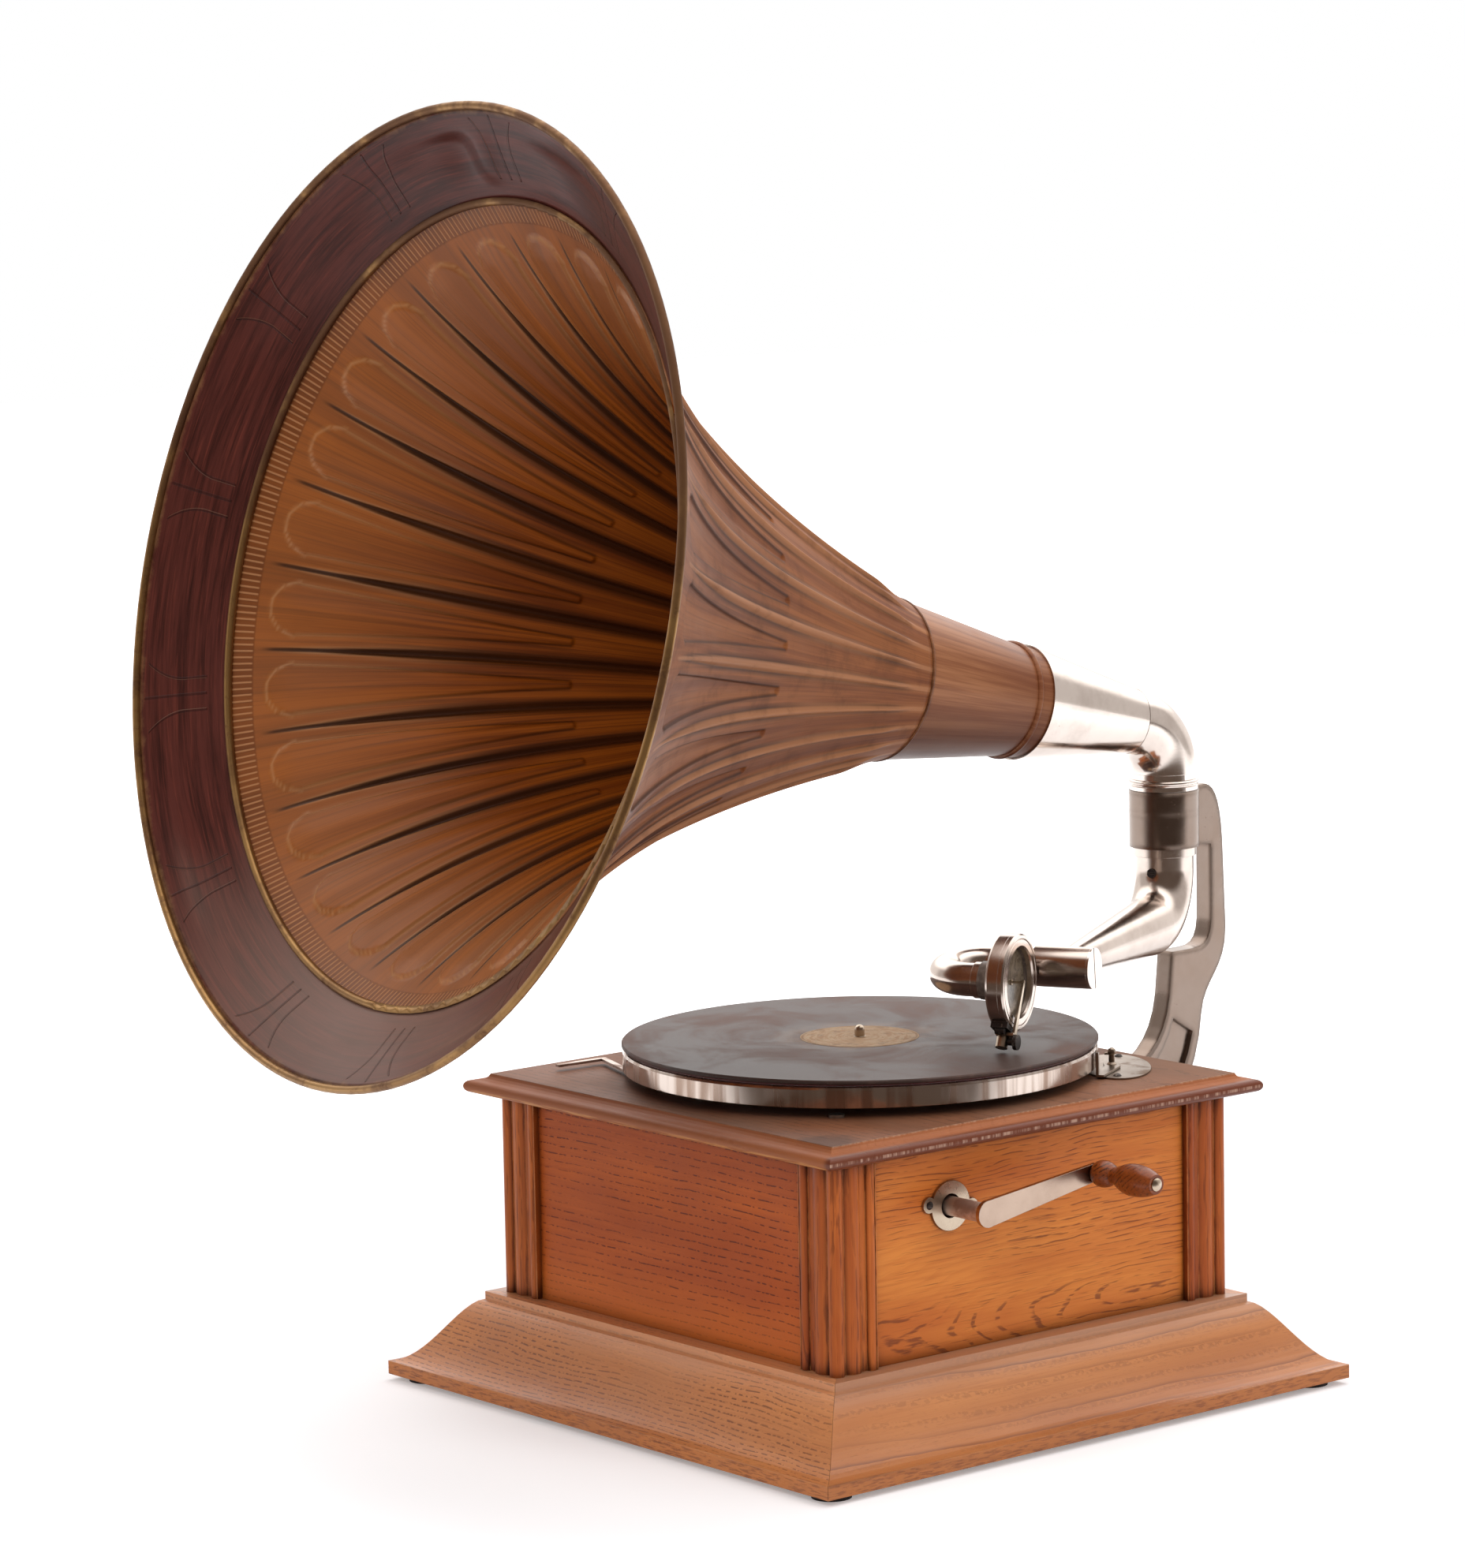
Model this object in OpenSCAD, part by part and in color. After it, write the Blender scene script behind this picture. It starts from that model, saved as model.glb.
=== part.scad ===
// Horn gramophone with a wooden case, a spring motor and a swivelling flared horn.
// Millimetres, +Z up, origin on the floor under the centre of the case.
// The case front faces -Y and the winding crank is on +X.

/* [Case] */
// Half width of the plinth at its foot
plinth_half = 216; // [205:0.5:228]
// Height of the feet under the plinth
foot_h = 4; // [2.5:0.5:8]
// Radius of each foot pad
foot_r = 12; // [8:0.5:18]
// Distance of each foot from the plinth edge
foot_inset = 18; // [15:0.5:26]
// Height of the flat face at the bottom of the plinth
plinth_face_h = 8.5; // [5:0.5:14]
// Height of the top of the plinth above the feet
plinth_h = 54; // [46:0.5:60]
// Half width of the lip on which the posts stand
lip_half = 171; // [168:0.5:176]
// Height of the lip's upright edge
lip_h = 5; // [3:0.5:8]
// Half width of the opening inside the plinth
plinth_open_half = 138; // [128:0.5:144]
// Thickness of the base board
base_t = 10; // [6:0.5:16]
// Half width over the corner posts
case_half = 162.5; // [158:0.5:166]
// Width of a corner post on each face
post_w = 34; // [32:0.5:40]
// Height of the posts and panels
wall_h = 129; // [120:0.5:150]
// Depth of the beads and grooves on the posts
bead_depth = 3; // [2:0.25:4]
// Thickness of the side panels
panel_t = 10; // [6:0.5:14]
// Recess of the panels behind the post faces
panel_recess = 5; // [3.5:0.25:7]

/* [Lid] */
// Thickness of the lid
lid_t = 12; // [10:0.5:18]
// Half width of the lid's flat top
lid_top_half = 166; // [160:0.5:170]
// Half width over the lid's rounded nose
lid_nose_half = 178.7; // [174:0.1:184]
// Radius of the lid's nose
nose_r = 3.9; // [3:0.1:4.5]
// Radius of the hole for the turntable spindle
lid_hole_r = 8; // [6:0.5:14]

/* [Turntable] */
// Radius of the turntable rim
platter_r = 149.5; // [120:0.5:152]
// Height of the turntable rim
platter_h = 13.2; // [10:0.2:18]
// Gap between the lid and the turntable rim
platter_gap = 6.4; // [5:0.1:9]
// Thickness of the turntable sheet
platter_t = 1.6; // [1.2:0.1:2.5]
// Radius of the turntable hub
hub_r = 15; // [10:0.5:22]
// Thickness of the felt
felt_t = 1.2; // [0.8:0.1:2.5]
// Radius of the record
record_r = 150; // [120:0.5:152]
// Thickness of the record
record_t = 2.6; // [1.6:0.1:3.2]
// Radius of the record label
label_r = 37.5; // [30:0.5:50]
// Thickness of the record label
label_t = 0.2; // [0.1:0.05:0.4]
// Radius of the spindle
spindle_r = 3.65; // [3:0.05:4.5]
// Height of the spindle above the record
spindle_up = 7.6; // [5:0.2:12]
// Radius of the spindle's tip above the record
tip_r = 3.2; // [2.6:0.05:3.3]

/* [Deck fittings] */
// Half length of the brake plate
brake_len = 41.5; // [36:0.5:44]
// Half width of the brake plate
brake_wid = 21.7; // [18:0.5:23]
// Thickness of the brake plate
brake_plate_t = 1.2; // [0.8:0.1:2]
// Distance of the brake plate's centre from the spindle
brake_reach = 161.4; // [161:0.1:165]
// Length of the brake arm from its post to its pad
brake_arm = 34; // [30:0.5:36]
// Radius of the brake knob's post
knob_r = 1.9; // [1.5:0.1:2.6]
// Height of the brake knob above the brake lever
knob_h = 8; // [6:0.5:11]
// Clearance between the brake pad and the turntable rim
pad_gap = 1; // [0.7:0.1:2]
// Thickness of the speed lever strip
strip_t = 1.6; // [1.2:0.1:2.2]
// Width of the speed lever strip
strip_w = 4; // [3:0.25:6]

/* [Crank] */
// Height of the crank axis above the floor
crank_z = 148; // [145:0.5:152]
// Distance of the crank axis in front of the case centre
crank_y = 67; // [62:0.5:72]
// Radius of the crank tube
crank_tube_r = 6; // [5:0.25:6.75]
// Distance of the crank arm from the panel face
crank_out = 33; // [24:0.5:44]
// Length of the crank arm
crank_arm_len = 88.7; // [70:0.5:110]
// Angle of the crank arm above level at rest
crank_rest = 8.3; // [0:0.5:30]
// Width of the crank arm at its shaft
arm_wide = 16.5; // [13:0.5:19]
// Width of the crank arm at its handle
arm_narrow = 11; // [9:0.5:13]
// Thickness of the crank arm
arm_t = 3; // [2:0.25:5]
// Length of the wooden handle
grip_len = 52; // [44:0.5:65]
// Largest radius of the wooden handle
grip_r = 9.8; // [8:0.2:13]
// Radius of the pin through the handle
grip_pin_r = 2.5; // [2:0.1:3.2]
// Radius of the escutcheon
escutcheon_r = 15.2; // [13:0.2:19]
// Thickness of the escutcheon
escutcheon_t = 1.8; // [1:0.1:3]
// Radius of the hole for the crank
crank_hole_r = 7.5; // [7:0.1:9]

/* [Bracket] */
// Distance of the horn pivot behind the case centre
pivot_y = 267; // [258:0.5:276]
// Height of the bottom of the bearing collar
collar_z = 315.5; // [308:0.5:324]
// Height of the bearing collar
collar_h = 37.5; // [32:0.5:44]
// Outer radius of the bearing collar
collar_r = 23; // [22.8:0.1:26]
// Bore radius of the collar for the tone arm
collar_bore_r = 19.5; // [18.5:0.1:20.5]
// Bore radius of the collar for the horn elbow
socket_r = 21.6; // [21.2:0.1:22]
// Depth of the socket for the horn elbow
socket_h = 15; // [12:0.5:20]
// Thickness of the bracket arm
bracket_t = 14; // [10:0.5:18]
// Depth of the pockets in the sides of the bracket arm
pocket_d = 3; // [1.5:0.25:4]
// Half width of the bracket's foot
bracket_foot_half = 40; // [34:0.5:50]
// Thickness of the bracket's foot
bracket_foot_t = 8; // [5:0.5:12]

/* [Tone arm] */
// Turn of the tone arm at rest, from straight ahead
arm_turn = 26.4; // [20:0.2:30]
// Height of the tone arm axis above the floor
arm_z = 266.2; // [264:0.2:272]
// Radius of the tone arm at its pivot
arm_r = 19.1; // [17:0.1:19.3]
// Radius of the bend below the pivot
arm_bend = 35; // [32:0.5:40]
// Length of the tone arm from the pivot to the cross tube
arm_len = 196.6; // [180:0.2:215]
// Radius of the tone arm where it meets the cross tube
arm_tip_r = 7.6; // [6:0.1:9.5]
// Wall thickness of the tone arm
arm_wall = 1.2; // [0.8:0.1:1.8]
// Outer radius of the cross tube
cross_r = 13.1; // [12.6:0.1:14]
// Length of the cross tube to the left of the arm
cross_left = 15.1; // [13:0.1:18]
// Length of the cross tube to the right of the arm
cross_right = 21.9; // [18:0.1:28]
// Thickness of the slotted end cap
cap_t = 1.5; // [1:0.1:3]
// Outer radius of the gooseneck tube
neck_r = 10.5; // [9.5:0.1:11]
// Distance between the two limbs of the gooseneck
neck_gap = 46.1; // [45:0.1:52]
// Droop of the gooseneck below level at rest
neck_droop = 3.7; // [0:0.1:6]
// Reach of the gooseneck's bend to the left of the soundbox
neck_reach = 29.2; // [27:0.1:36]

/* [Soundbox] */
// Radius of the soundbox
box_r = 30.4; // [27:0.1:31]
// Radius of the soundbox window
window_r = 21.8; // [18:0.1:23]
// Thickness of the soundbox without its front ring
box_t = 8.6; // [7:0.1:10]
// Thickness of the front ring
front_t = 4; // [3:0.1:5]
// Lean of the stylus bar from upright at rest
bar_lean = 29.1; // [20:0.1:40]
// Distance from the soundbox centre to the end of the needle chuck
chuck_end = 43.4; // [41:0.1:43.6]
// Radius of the needle chuck
chuck_r = 3.8; // [3.2:0.1:4.4]
// Radius of the needle hole
needle_r = 0.8; // [0.7:0.05:1.1]
// Depth of the needle hole
needle_deep = 6; // [4.5:0.5:7]

/* [Horn] */
// Height at which the horn axis crosses the pivot axis
horn_z = 394; // [388:0.5:402]
// Turn of the horn at rest, from straight ahead
horn_turn = -4.5; // [-20:0.5:20]
// Rise of the horn axis from level
horn_rise = 12.35; // [8:0.05:18]
// Tube radius of the elbow at the bearing
elbow_r = 21.8; // [20.8:0.1:22.2]
// Radius of the elbow's bend
elbow_bend = 37; // [34:0.5:38.5]
// Distance from the pivot axis to the elbow's mouth
mouth_at = 123.5; // [110:0.5:140]
// Outer radius of the elbow's mouth
mouth_r = 37.5; // [34:0.1:42]
// Wall thickness of the elbow
elbow_wall = 1.2; // [0.8:0.1:1.8]
// Distance from the elbow's mouth to the neck bead
neck_bead_at = 11; // [6:0.5:16]
// Length of the horn neck from its bead to the seam
neck_len = 100; // [80:0.5:130]
// Radius of the horn at the seam
seam_r = 52; // [48:0.2:58]
// Length of the flared part from the seam to the rim
flare_len = 369.4; // [320:0.2:420]
// Radius of the horn's rim
rim_r = 294.3; // [240:0.2:310]
// Slope of the horn wall at the seam
throat_slope = 0.29; // [0.2:0.01:0.36]
// Share of the flare that opens evenly and not near the rim
even_share = 0.58; // [0.4:0.005:0.8]
// Length of the plain border from the bead inside to the rim, along the axis
border_len = 38.4; // [34:0.2:60]
// Wall thickness of the horn sheet
sheet_t = 0.7; // [0.5:0.05:1.2]
// Height of the pressed ribs on the horn
rib_h = 2.2; // [1:0.1:3.5]
// Number of pressed panels round the horn
panels = 26; // [20:2:32]
// Radius of the rolled rim bead
rim_bead_r = 2.6; // [2:0.1:4]
// Radius of the bead inside, between the ribs and the plain border
inner_bead_r = 2.6; // [2:0.1:4]

/* [Motor] */
// Height of the top of the motor's lower plate
motor_low = 93; // [88:0.5:95]
// Height of the top of the motor's upper plate
motor_top = 174; // [172:0.5:176]
// Thickness of the motor plates
plate_t = 3; // [2:0.25:4]
// Module of the spur gears
gear_m = 1.25; // [1.1:0.05:1.3]
// Play between meshing teeth
backlash = 0.4; // [0.3:0.05:0.6]
// Outer radius of the spring barrel
barrel_r = 41; // [34:0.5:42]
// Height of the spring barrel
barrel_h = 30; // [24:0.5:31]
// Width of the gear faces
gear_w = 3.5; // [3:0.25:4]
// Radius of the winding shaft and of the barrel arbor's ends
arbor_r = 4; // [3:0.25:4.5]
// Radius of the idler's pivots
idler_r = 2; // [1.5:0.25:2.5]
// Radius of the governor's pivots
governor_r = 1.5; // [1:0.25:2]

/* [Fits] */
// Running clearance of shafts and bearings
run_fit = 0.06; // [0.03:0.01:0.09]
// Gap between parts that seat but turn
seat_gap = 0.3; // [0.25:0.05:0.4]

/* [Hidden] */
$fn = 96;
eps = 0.01;

plinth_top = foot_h + plinth_h;
wall_top = plinth_top + wall_h;
lid_z = wall_top + lid_t;
panel_face = case_half - panel_recess;
post_in = case_half - post_w;
platter_z = lid_z + platter_gap;
platter_top = platter_z + platter_h;
record_z = platter_top + felt_t;
record_top = record_z + record_t;

wood = [0.62, 0.36, 0.18];
dark_wood = [0.36, 0.19, 0.11];
nickel = [0.78, 0.74, 0.69];
steel = [0.55, 0.55, 0.56];
brass = [0.75, 0.6, 0.3];

// A point on a cubic curve with the four control points p
function bez(p, t) = pow(1 - t, 3) * p[0] + 3 * pow(1 - t, 2) * t * p[1]
    + 3 * (1 - t) * t * t * p[2] + pow(t, 3) * p[3];
function curve(p, n) = [for (i = [0 : n]) bez(p, i / n)];
function mix(a, b, f) = a + (b - a) * f;

// Case

function ogee(t) = let (u = pow(t, 0.85)) [
    mix(lip_half, plinth_half, t),
    mix(plinth_top - lip_h, foot_h + plinth_face_h, (1 - cos(180 * u)) / 2)];

// A bar of the given section along one side, cut at 45 degrees at both ends
module mitred_bar(section, half, cut) {
    for (k = [0 : 3])
        rotate([0, 0, 90 * k])
            intersection() {
                translate([-half, 0, 0])
                    rotate([90, 0, 90])
                        linear_extrude(2 * half) mirror([1, 0]) polygon(section);
                translate([0, -cut, -1])
                    linear_extrude(lid_z + 2)
                        polygon([[0, 0], [-2 * half, -2 * half], [2 * half, -2 * half]]);
            }
}

module feet() {
    color([0.1, 0.08, 0.07])
        for (x = [-1, 1], y = [-1, 1])
            translate([x * (plinth_half - foot_inset), y * (plinth_half - foot_inset), 0])
                cylinder(h = foot_h, r = foot_r);
}

module plinth_moulding() {
    section = concat(
        [[plinth_open_half, foot_h], [plinth_half, foot_h], [plinth_half, foot_h + plinth_face_h]],
        [for (i = [13 : -1 : 0]) ogee(i / 14)],
        [[lip_half, plinth_top], [plinth_open_half, plinth_top]]);
    color(wood) mitred_bar(section, plinth_half, 0.1);
}

module base_board() {
    color(dark_wood)
        translate([-plinth_open_half, -plinth_open_half, plinth_top - base_t - 6])
            cube([2 * plinth_open_half, 2 * plinth_open_half, base_t]);
}

// Section of a post, with its outer corner at [case_half, case_half]
module post_section() {
    core = case_half - bead_depth;
    wide = 6.25;
    wide_r = (wide * wide + bead_depth * bead_depth) / (2 * bead_depth);
    translate([post_in, post_in]) square(core - post_in);
    translate([case_half - 4.5, case_half - 4.5]) circle(4.5);
    for (m = [0, 1])
        mirror([m, -m]) {
            intersection() {
                translate([case_half - 16.25, case_half - wide_r]) circle(wide_r);
                translate([case_half - 16.25 - wide, post_in + 4]) square([2 * wide, post_w]);
            }
            translate([case_half - post_w + 3.75, case_half - 3.25]) circle(3.25);
            translate([post_in, core - 4]) square([0.8, 4 + bead_depth - 1]);
        }
}

module corner_posts() {
    color(wood)
        for (k = [0 : 3])
            rotate([0, 0, 90 * k])
                translate([0, 0, plinth_top]) linear_extrude(wall_h) post_section();
}

// A panel on the side that faces -Y
module panel() {
    translate([-post_in, -panel_face, plinth_top]) cube([2 * post_in, panel_t, wall_h]);
}

module front_panel() {
    color([0.58, 0.32, 0.17]) panel();
}

module left_panel() {
    color(wood) rotate([0, 0, -90]) panel();
}

module back_panel() {
    color(wood) rotate([0, 0, 180]) panel();
}

module right_panel() {
    color([0.72, 0.43, 0.2])
        difference() {
            rotate([0, 0, 90]) panel();
            translate([panel_face - panel_t - 1, -crank_y, crank_z])
                rotate([0, 90, 0]) cylinder(h = panel_t + 2, r = crank_hole_r);
        }
}

// Motor layout, seen from above
barrel_pos = [45, -crank_y];
spur_small = 12;
spur_big = 60;
barrel_teeth = 72;
worm_teeth = 48;
worm_starts = 3;
wind_m = 1.5;
wind_pinion_teeth = 12;
crown_teeth = 36;
reach_si = gear_m * (spur_small + spur_big) / 2;
reach_bi = gear_m * (barrel_teeth + spur_small) / 2;
reach_sb = norm(barrel_pos);
along_si = (reach_si * reach_si - reach_bi * reach_bi + reach_sb * reach_sb) / (2 * reach_sb);
across_si = sqrt(reach_si * reach_si - along_si * along_si);
idler_pos = along_si * barrel_pos / reach_sb
    + across_si * [-barrel_pos[1], barrel_pos[0]] / reach_sb;
governor_y = -(gear_m * worm_teeth / 2 + gear_m + 5 + seat_gap);
governor_z = 115;
bolt_pos = [[-62, 40], [82, 40], [-62, -118], [98, -104]];
plate_lo = [-86, -128];
plate_hi = [112, 52];
speed_pos = [-22, -102];
speed_hole_r = 2.6;
bolt_r = 3;

module lid_board() {
    nose_z = wall_top + nose_r;
    section = concat(
        [[0, wall_top], [lid_nose_half - nose_r, wall_top]],
        [for (a = [-75 : 15 : 90]) [lid_nose_half - nose_r + nose_r * cos(a), nose_z + nose_r * sin(a)]],
        [[mix(lid_top_half, lid_nose_half, 0.44), lid_z - 4],
            [mix(lid_top_half, lid_nose_half, 0.22), lid_z - 3.2],
         [mix(lid_top_half, lid_nose_half, 0.08), lid_z - 1.8], [lid_top_half, lid_z], [0, lid_z]]);
    color(wood)
        difference() {
            mitred_bar(section, lid_nose_half, 0);
            translate([0, 0, wall_top - 1]) cylinder(h = lid_t + 2, r = lid_hole_r);
            translate([speed_pos[0], speed_pos[1], wall_top - 1])
                cylinder(h = lid_t + 2, r = speed_hole_r);
            for (p = bolt_pos)
                translate([p[0], p[1], wall_top - 1]) cylinder(h = lid_t + 2, r = bolt_r);
        }
}

ear_at = 17.2;
ear_r = 4.8;
ear_tilt = -8.4;

// Places something on the right panel's face, with its own +Z pointing out
module on_right_face() {
    translate([panel_face, -crank_y, crank_z]) rotate([0, 90, 0]) rotate([0, 0, 90]) children();
}

module escutcheon() {
    color(nickel)
        on_right_face()
            rotate([0, 0, ear_tilt])
                difference() {
                    union() {
                        cylinder(h = escutcheon_t, r = escutcheon_r);
                        for (s = [-1, 1]) translate([s * ear_at, 0, 0]) cylinder(h = escutcheon_t, r = ear_r);
                    }
                    translate([0, 0, -1]) cylinder(h = escutcheon_t + 2, r = crank_hole_r);
                }
}

module escutcheon_screws() {
    color(steel)
        on_right_face()
            rotate([0, 0, ear_tilt])
                for (s = [-1, 1])
                    translate([s * ear_at, 0, escutcheon_t])
                        difference() {
                            intersection() {
                                translate([0, 0, -1.4]) sphere(3);
                                cylinder(h = 3, r = 2.6);
                            }
                            translate([-3, -0.4, 1]) cube([6, 0.8, 2]);
                        }
}

// Deck fittings

brake_az = 51.1;
brake_z = lid_z + brake_plate_t;
brake_lever_t = 1.4;
brake_lever_z = brake_z + seat_gap;
// The post stands outside the turntable rim, and the pad beside it
post_at = platter_r + 8.9;

// Places something in the brake's frame: +X out from the spindle, +Y along the rim
module in_brake_frame() {
    rotate([0, 0, brake_az]) children();
}

post_y = -2.2;
pad_t = 1.6;
pad_r = platter_r + pad_gap;
// The pad's angle round the spindle, from the post's side of the rim
pad_az = asin((post_y - brake_arm) / pad_r);
function by_rim(r, y) = [r * cos(pad_az) - y * sin(pad_az), r * sin(pad_az) + y * cos(pad_az)];

module brake_plate() {
    n = 60;
    color(nickel)
        in_brake_frame()
            difference() {
                translate([brake_reach, 0, lid_z])
                    linear_extrude(brake_plate_t)
                        polygon([for (i = [0 : n - 1])
                            [brake_wid * cos(360 * i / n), brake_len * sin(360 * i / n)]]);
                translate([post_at, post_y, lid_z - 1]) cylinder(h = brake_plate_t + 2, r = knob_r + run_fit);
            }
}

module brake_screws() {
    color(steel)
        in_brake_frame()
            for (p = [[brake_reach - 2, -33], [brake_reach + 4, 33]])
                translate([p[0], p[1], brake_z])
                    intersection() {
                        translate([0, 0, -1.6]) sphere(3.2);
                        cylinder(h = 3, r = 2.7);
                    }
}

module brake_lever() {
    color(nickel)
        in_brake_frame()
            translate([0, 0, brake_lever_z]) {
                difference() {
                    linear_extrude(brake_lever_t)
                        polygon([[post_at + 5, post_y + 5], [post_at + 5, post_y - 6], by_rim(pad_r + 5, -2),
                            by_rim(pad_r, -2), by_rim(pad_r, 2),
                            [post_at - 5, post_y - 5], [post_at - 5, post_y + 5]]);
                    translate([post_at, post_y, -1]) cylinder(h = brake_lever_t + 2, r = knob_r + 0.02);
                }
                rotate([0, 0, pad_az])
                    translate([pad_r, -1.8, 0.2]) cube([pad_t, 3.6, platter_top - brake_lever_z - 3]);
            }
}

module brake_knob() {
    top = brake_lever_z + brake_lever_t;
    color(nickel)
        in_brake_frame()
            translate([post_at, post_y, 0]) {
                translate([0, 0, lid_z + seat_gap]) cylinder(h = top - lid_z - seat_gap + knob_h, r = knob_r);
                translate([0, 0, top]) cylinder(h = 1.6, r1 = knob_r + 1.4, r2 = knob_r - 0.2);
                translate([0, 0, top + knob_h]) sphere(knob_r + 0.7);
                translate([-knob_r - 2.6, 0, top + knob_h - 1.2])
                    rotate([0, 90, 0]) cylinder(h = 3.6, r = 0.9);
            }
}

// Speed lever: a strip that comes out from under the turntable and bends to the front
speed_z = lid_z + 2.6;
speed_mid = [-98, -110];
speed_elbow = [-140, -97];
speed_tip = [-142, -131];

// Outline of a strip of width w along the points p
function strip_side(p, w) = [for (i = [0 : len(p) - 1]) let (
    a = i > 0 ? p[i] - p[i - 1] : p[1] - p[0],
    b = i < len(p) - 1 ? p[i + 1] - p[i] : a,
    u = a / norm(a) + b / norm(b),
    v = [-u[1], u[0]] / norm(u))
    p[i] + v * w / 2 / (v * [-a[1], a[0]] / norm(a))];
function strip(p, w) = concat(strip_side(p, w),
    strip_side([for (i = [len(p) - 1 : -1 : 0]) p[i]], w));

module speed_lever() {
    in = strip_w / 4;
    color(nickel) {
        translate([0, 0, speed_z])
            linear_extrude(strip_t)
                polygon(strip([speed_pos - [in, 0], speed_mid, speed_elbow + [in, in], speed_elbow + [0, -in],
                    speed_tip], strip_w));
        translate([speed_pos[0], speed_pos[1], governor_z - 4])
            cylinder(h = speed_z - governor_z + 5, r = speed_hole_r - run_fit);
        translate([speed_pos[0], speed_pos[1], lid_z + seat_gap])
            cylinder(h = speed_z - lid_z - seat_gap + 0.5, r = 5);
        translate([speed_pos[0] - 1.5, speed_pos[1], governor_z - 3]) cube([3, pad_face_y - speed_pos[1], 6]);
    }
}

disc_x = -30;
disc_t = 2.5;
disc_r = 14;
pad_face_y = governor_y - 4;

module speed_pad() {
    x0 = disc_x + disc_t + seat_gap;
    color([0.25, 0.15, 0.08])
        translate([x0, pad_face_y - 9, governor_z - 4]) cube([speed_pos[0] - 1.5 - x0, 8, 8]);
}

// Turntable

module platter() {
    color(nickel)
        difference() {
            union() {
                difference() {
                    translate([0, 0, platter_z])
                        rotate_extrude()
                            polygon([[0, 0], [platter_r, 0], [platter_r, platter_h - 2.2],
                                [platter_r - 0.6, platter_h - 0.8], [platter_r - 2, platter_h],
                                [0, platter_h]]);
                    translate([0, 0, platter_z - 1])
                        cylinder(h = platter_h - platter_t + 1, r = platter_r - platter_t - 0.8);
                }
                translate([0, 0, platter_z - 1]) cylinder(h = platter_h, r = hub_r);
            }
            translate([0, 0, platter_z - 2]) cylinder(h = platter_h + 4, r = spindle_r + 0.02);
        }
}

module felt_mat() {
    color([0.32, 0.08, 0.07])
        translate([0, 0, platter_top])
            difference() {
                cylinder(h = felt_t, r = platter_r - 1.2);
                translate([0, 0, -1]) cylinder(h = felt_t + 2, r = spindle_r + 0.3);
            }
}

module record() {
    color([0.22, 0.21, 0.21])
        translate([0, 0, record_z])
            difference() {
                rotate_extrude()
                    polygon([[0, 0], [record_r - 0.6, 0], [record_r, 0.6], [record_r, record_t - 0.8],
                        [record_r - 0.8, record_t], [0, record_t]]);
                translate([0, 0, -1]) cylinder(h = record_t + 2, r = spindle_r + 0.15);
            }
}

module record_label() {
    color([0.8, 0.62, 0.42])
        translate([0, 0, record_top])
            difference() {
                cylinder(h = label_t, r = label_r);
                translate([0, 0, -1]) cylinder(h = label_t + 2, r = spindle_r + 0.15);
            }
}

spindle_low = motor_low - plate_t + 1;

module spindle() {
    color(steel) {
        translate([0, 0, spindle_low]) cylinder(h = record_top + 0.4 - spindle_low, r = spindle_r);
        translate([0, 0, record_top]) cylinder(h = spindle_up - tip_r, r = tip_r);
        translate([0, 0, record_top + spindle_up - tip_r]) sphere(tip_r);
    }
}

// Spur gear section with involute flanks
function inv(rb, r) = r <= rb ? 0 : sqrt(r * r / (rb * rb) - 1) * 180 / PI - acos(rb / r);
function flank(m, z, r) = let (rp = m * z / 2, rb = rp * cos(20))
    90 / z - backlash / 4 / rp * 180 / PI + inv(rb, rp) - inv(rb, r);
function tooth(m, z, a) = let (rp = m * z / 2, rb = rp * cos(20), rf = rp - 1.2 * m, ra = rp + 0.95 * m,
    rs = [rf, max(rb, rf), mix(max(rb, rf), ra, 0.5), ra])
    concat([for (r = rs) let (t = a - flank(m, z, r)) r * [cos(t), sin(t)]],
        [for (i = [3 : -1 : 0]) let (t = a + flank(m, z, rs[i])) rs[i] * [cos(t), sin(t)]]);
module gear(m, z, w, turn) {
    linear_extrude(w) polygon([for (i = [0 : z - 1]) each tooth(m, z, turn + 360 * i / z)]);
}

low_mesh_z = motor_low + barrel_h + 7;
high_mesh_z = 152;
worm_w = 6;
az_si = atan2(idler_pos[1], idler_pos[0]);
az_ib = atan2(barrel_pos[1] - idler_pos[1], barrel_pos[0] - idler_pos[0]);

module spindle_gears() {
    color(brass)
        difference() {
            union() {
                translate([0, 0, high_mesh_z]) gear(gear_m, spur_small, gear_w + 1, az_si);
                translate([0, 0, governor_z + worm_w / 2 - eps])
                    cylinder(h = high_mesh_z - governor_z - worm_w / 2 + 2 * eps, r = 5.5);
                translate([0, 0, governor_z - worm_w / 2]) gear(gear_m, worm_teeth, worm_w, 0);
            }
            translate([0, 0, governor_z - worm_w]) cylinder(h = 60, r = spindle_r + 0.02);
        }
}

module motor_plates() {
    color(steel)
        for (z = [motor_low, motor_top])
            translate([0, 0, z - plate_t])
                difference() {
                    translate([plate_lo[0], plate_lo[1], 0])
                        cube([plate_hi[0] - plate_lo[0], plate_hi[1] - plate_lo[1], plate_t]);
                    translate([0, 0, -1]) cylinder(h = plate_t + 2, r = spindle_r + run_fit);
                    translate([barrel_pos[0], barrel_pos[1], -1])
                        cylinder(h = plate_t + 2, r = arbor_r + run_fit);
                    translate([idler_pos[0], idler_pos[1], -1])
                        cylinder(h = plate_t + 2, r = idler_r + run_fit);
                    for (p = bolt_pos) translate([p[0], p[1], -1]) cylinder(h = plate_t + 2, r = bolt_r);
                    if (z > motor_low)
                        translate([speed_pos[0], speed_pos[1], -1])
                            cylinder(h = plate_t + 2, r = speed_hole_r + 1);
                }
}

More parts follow.
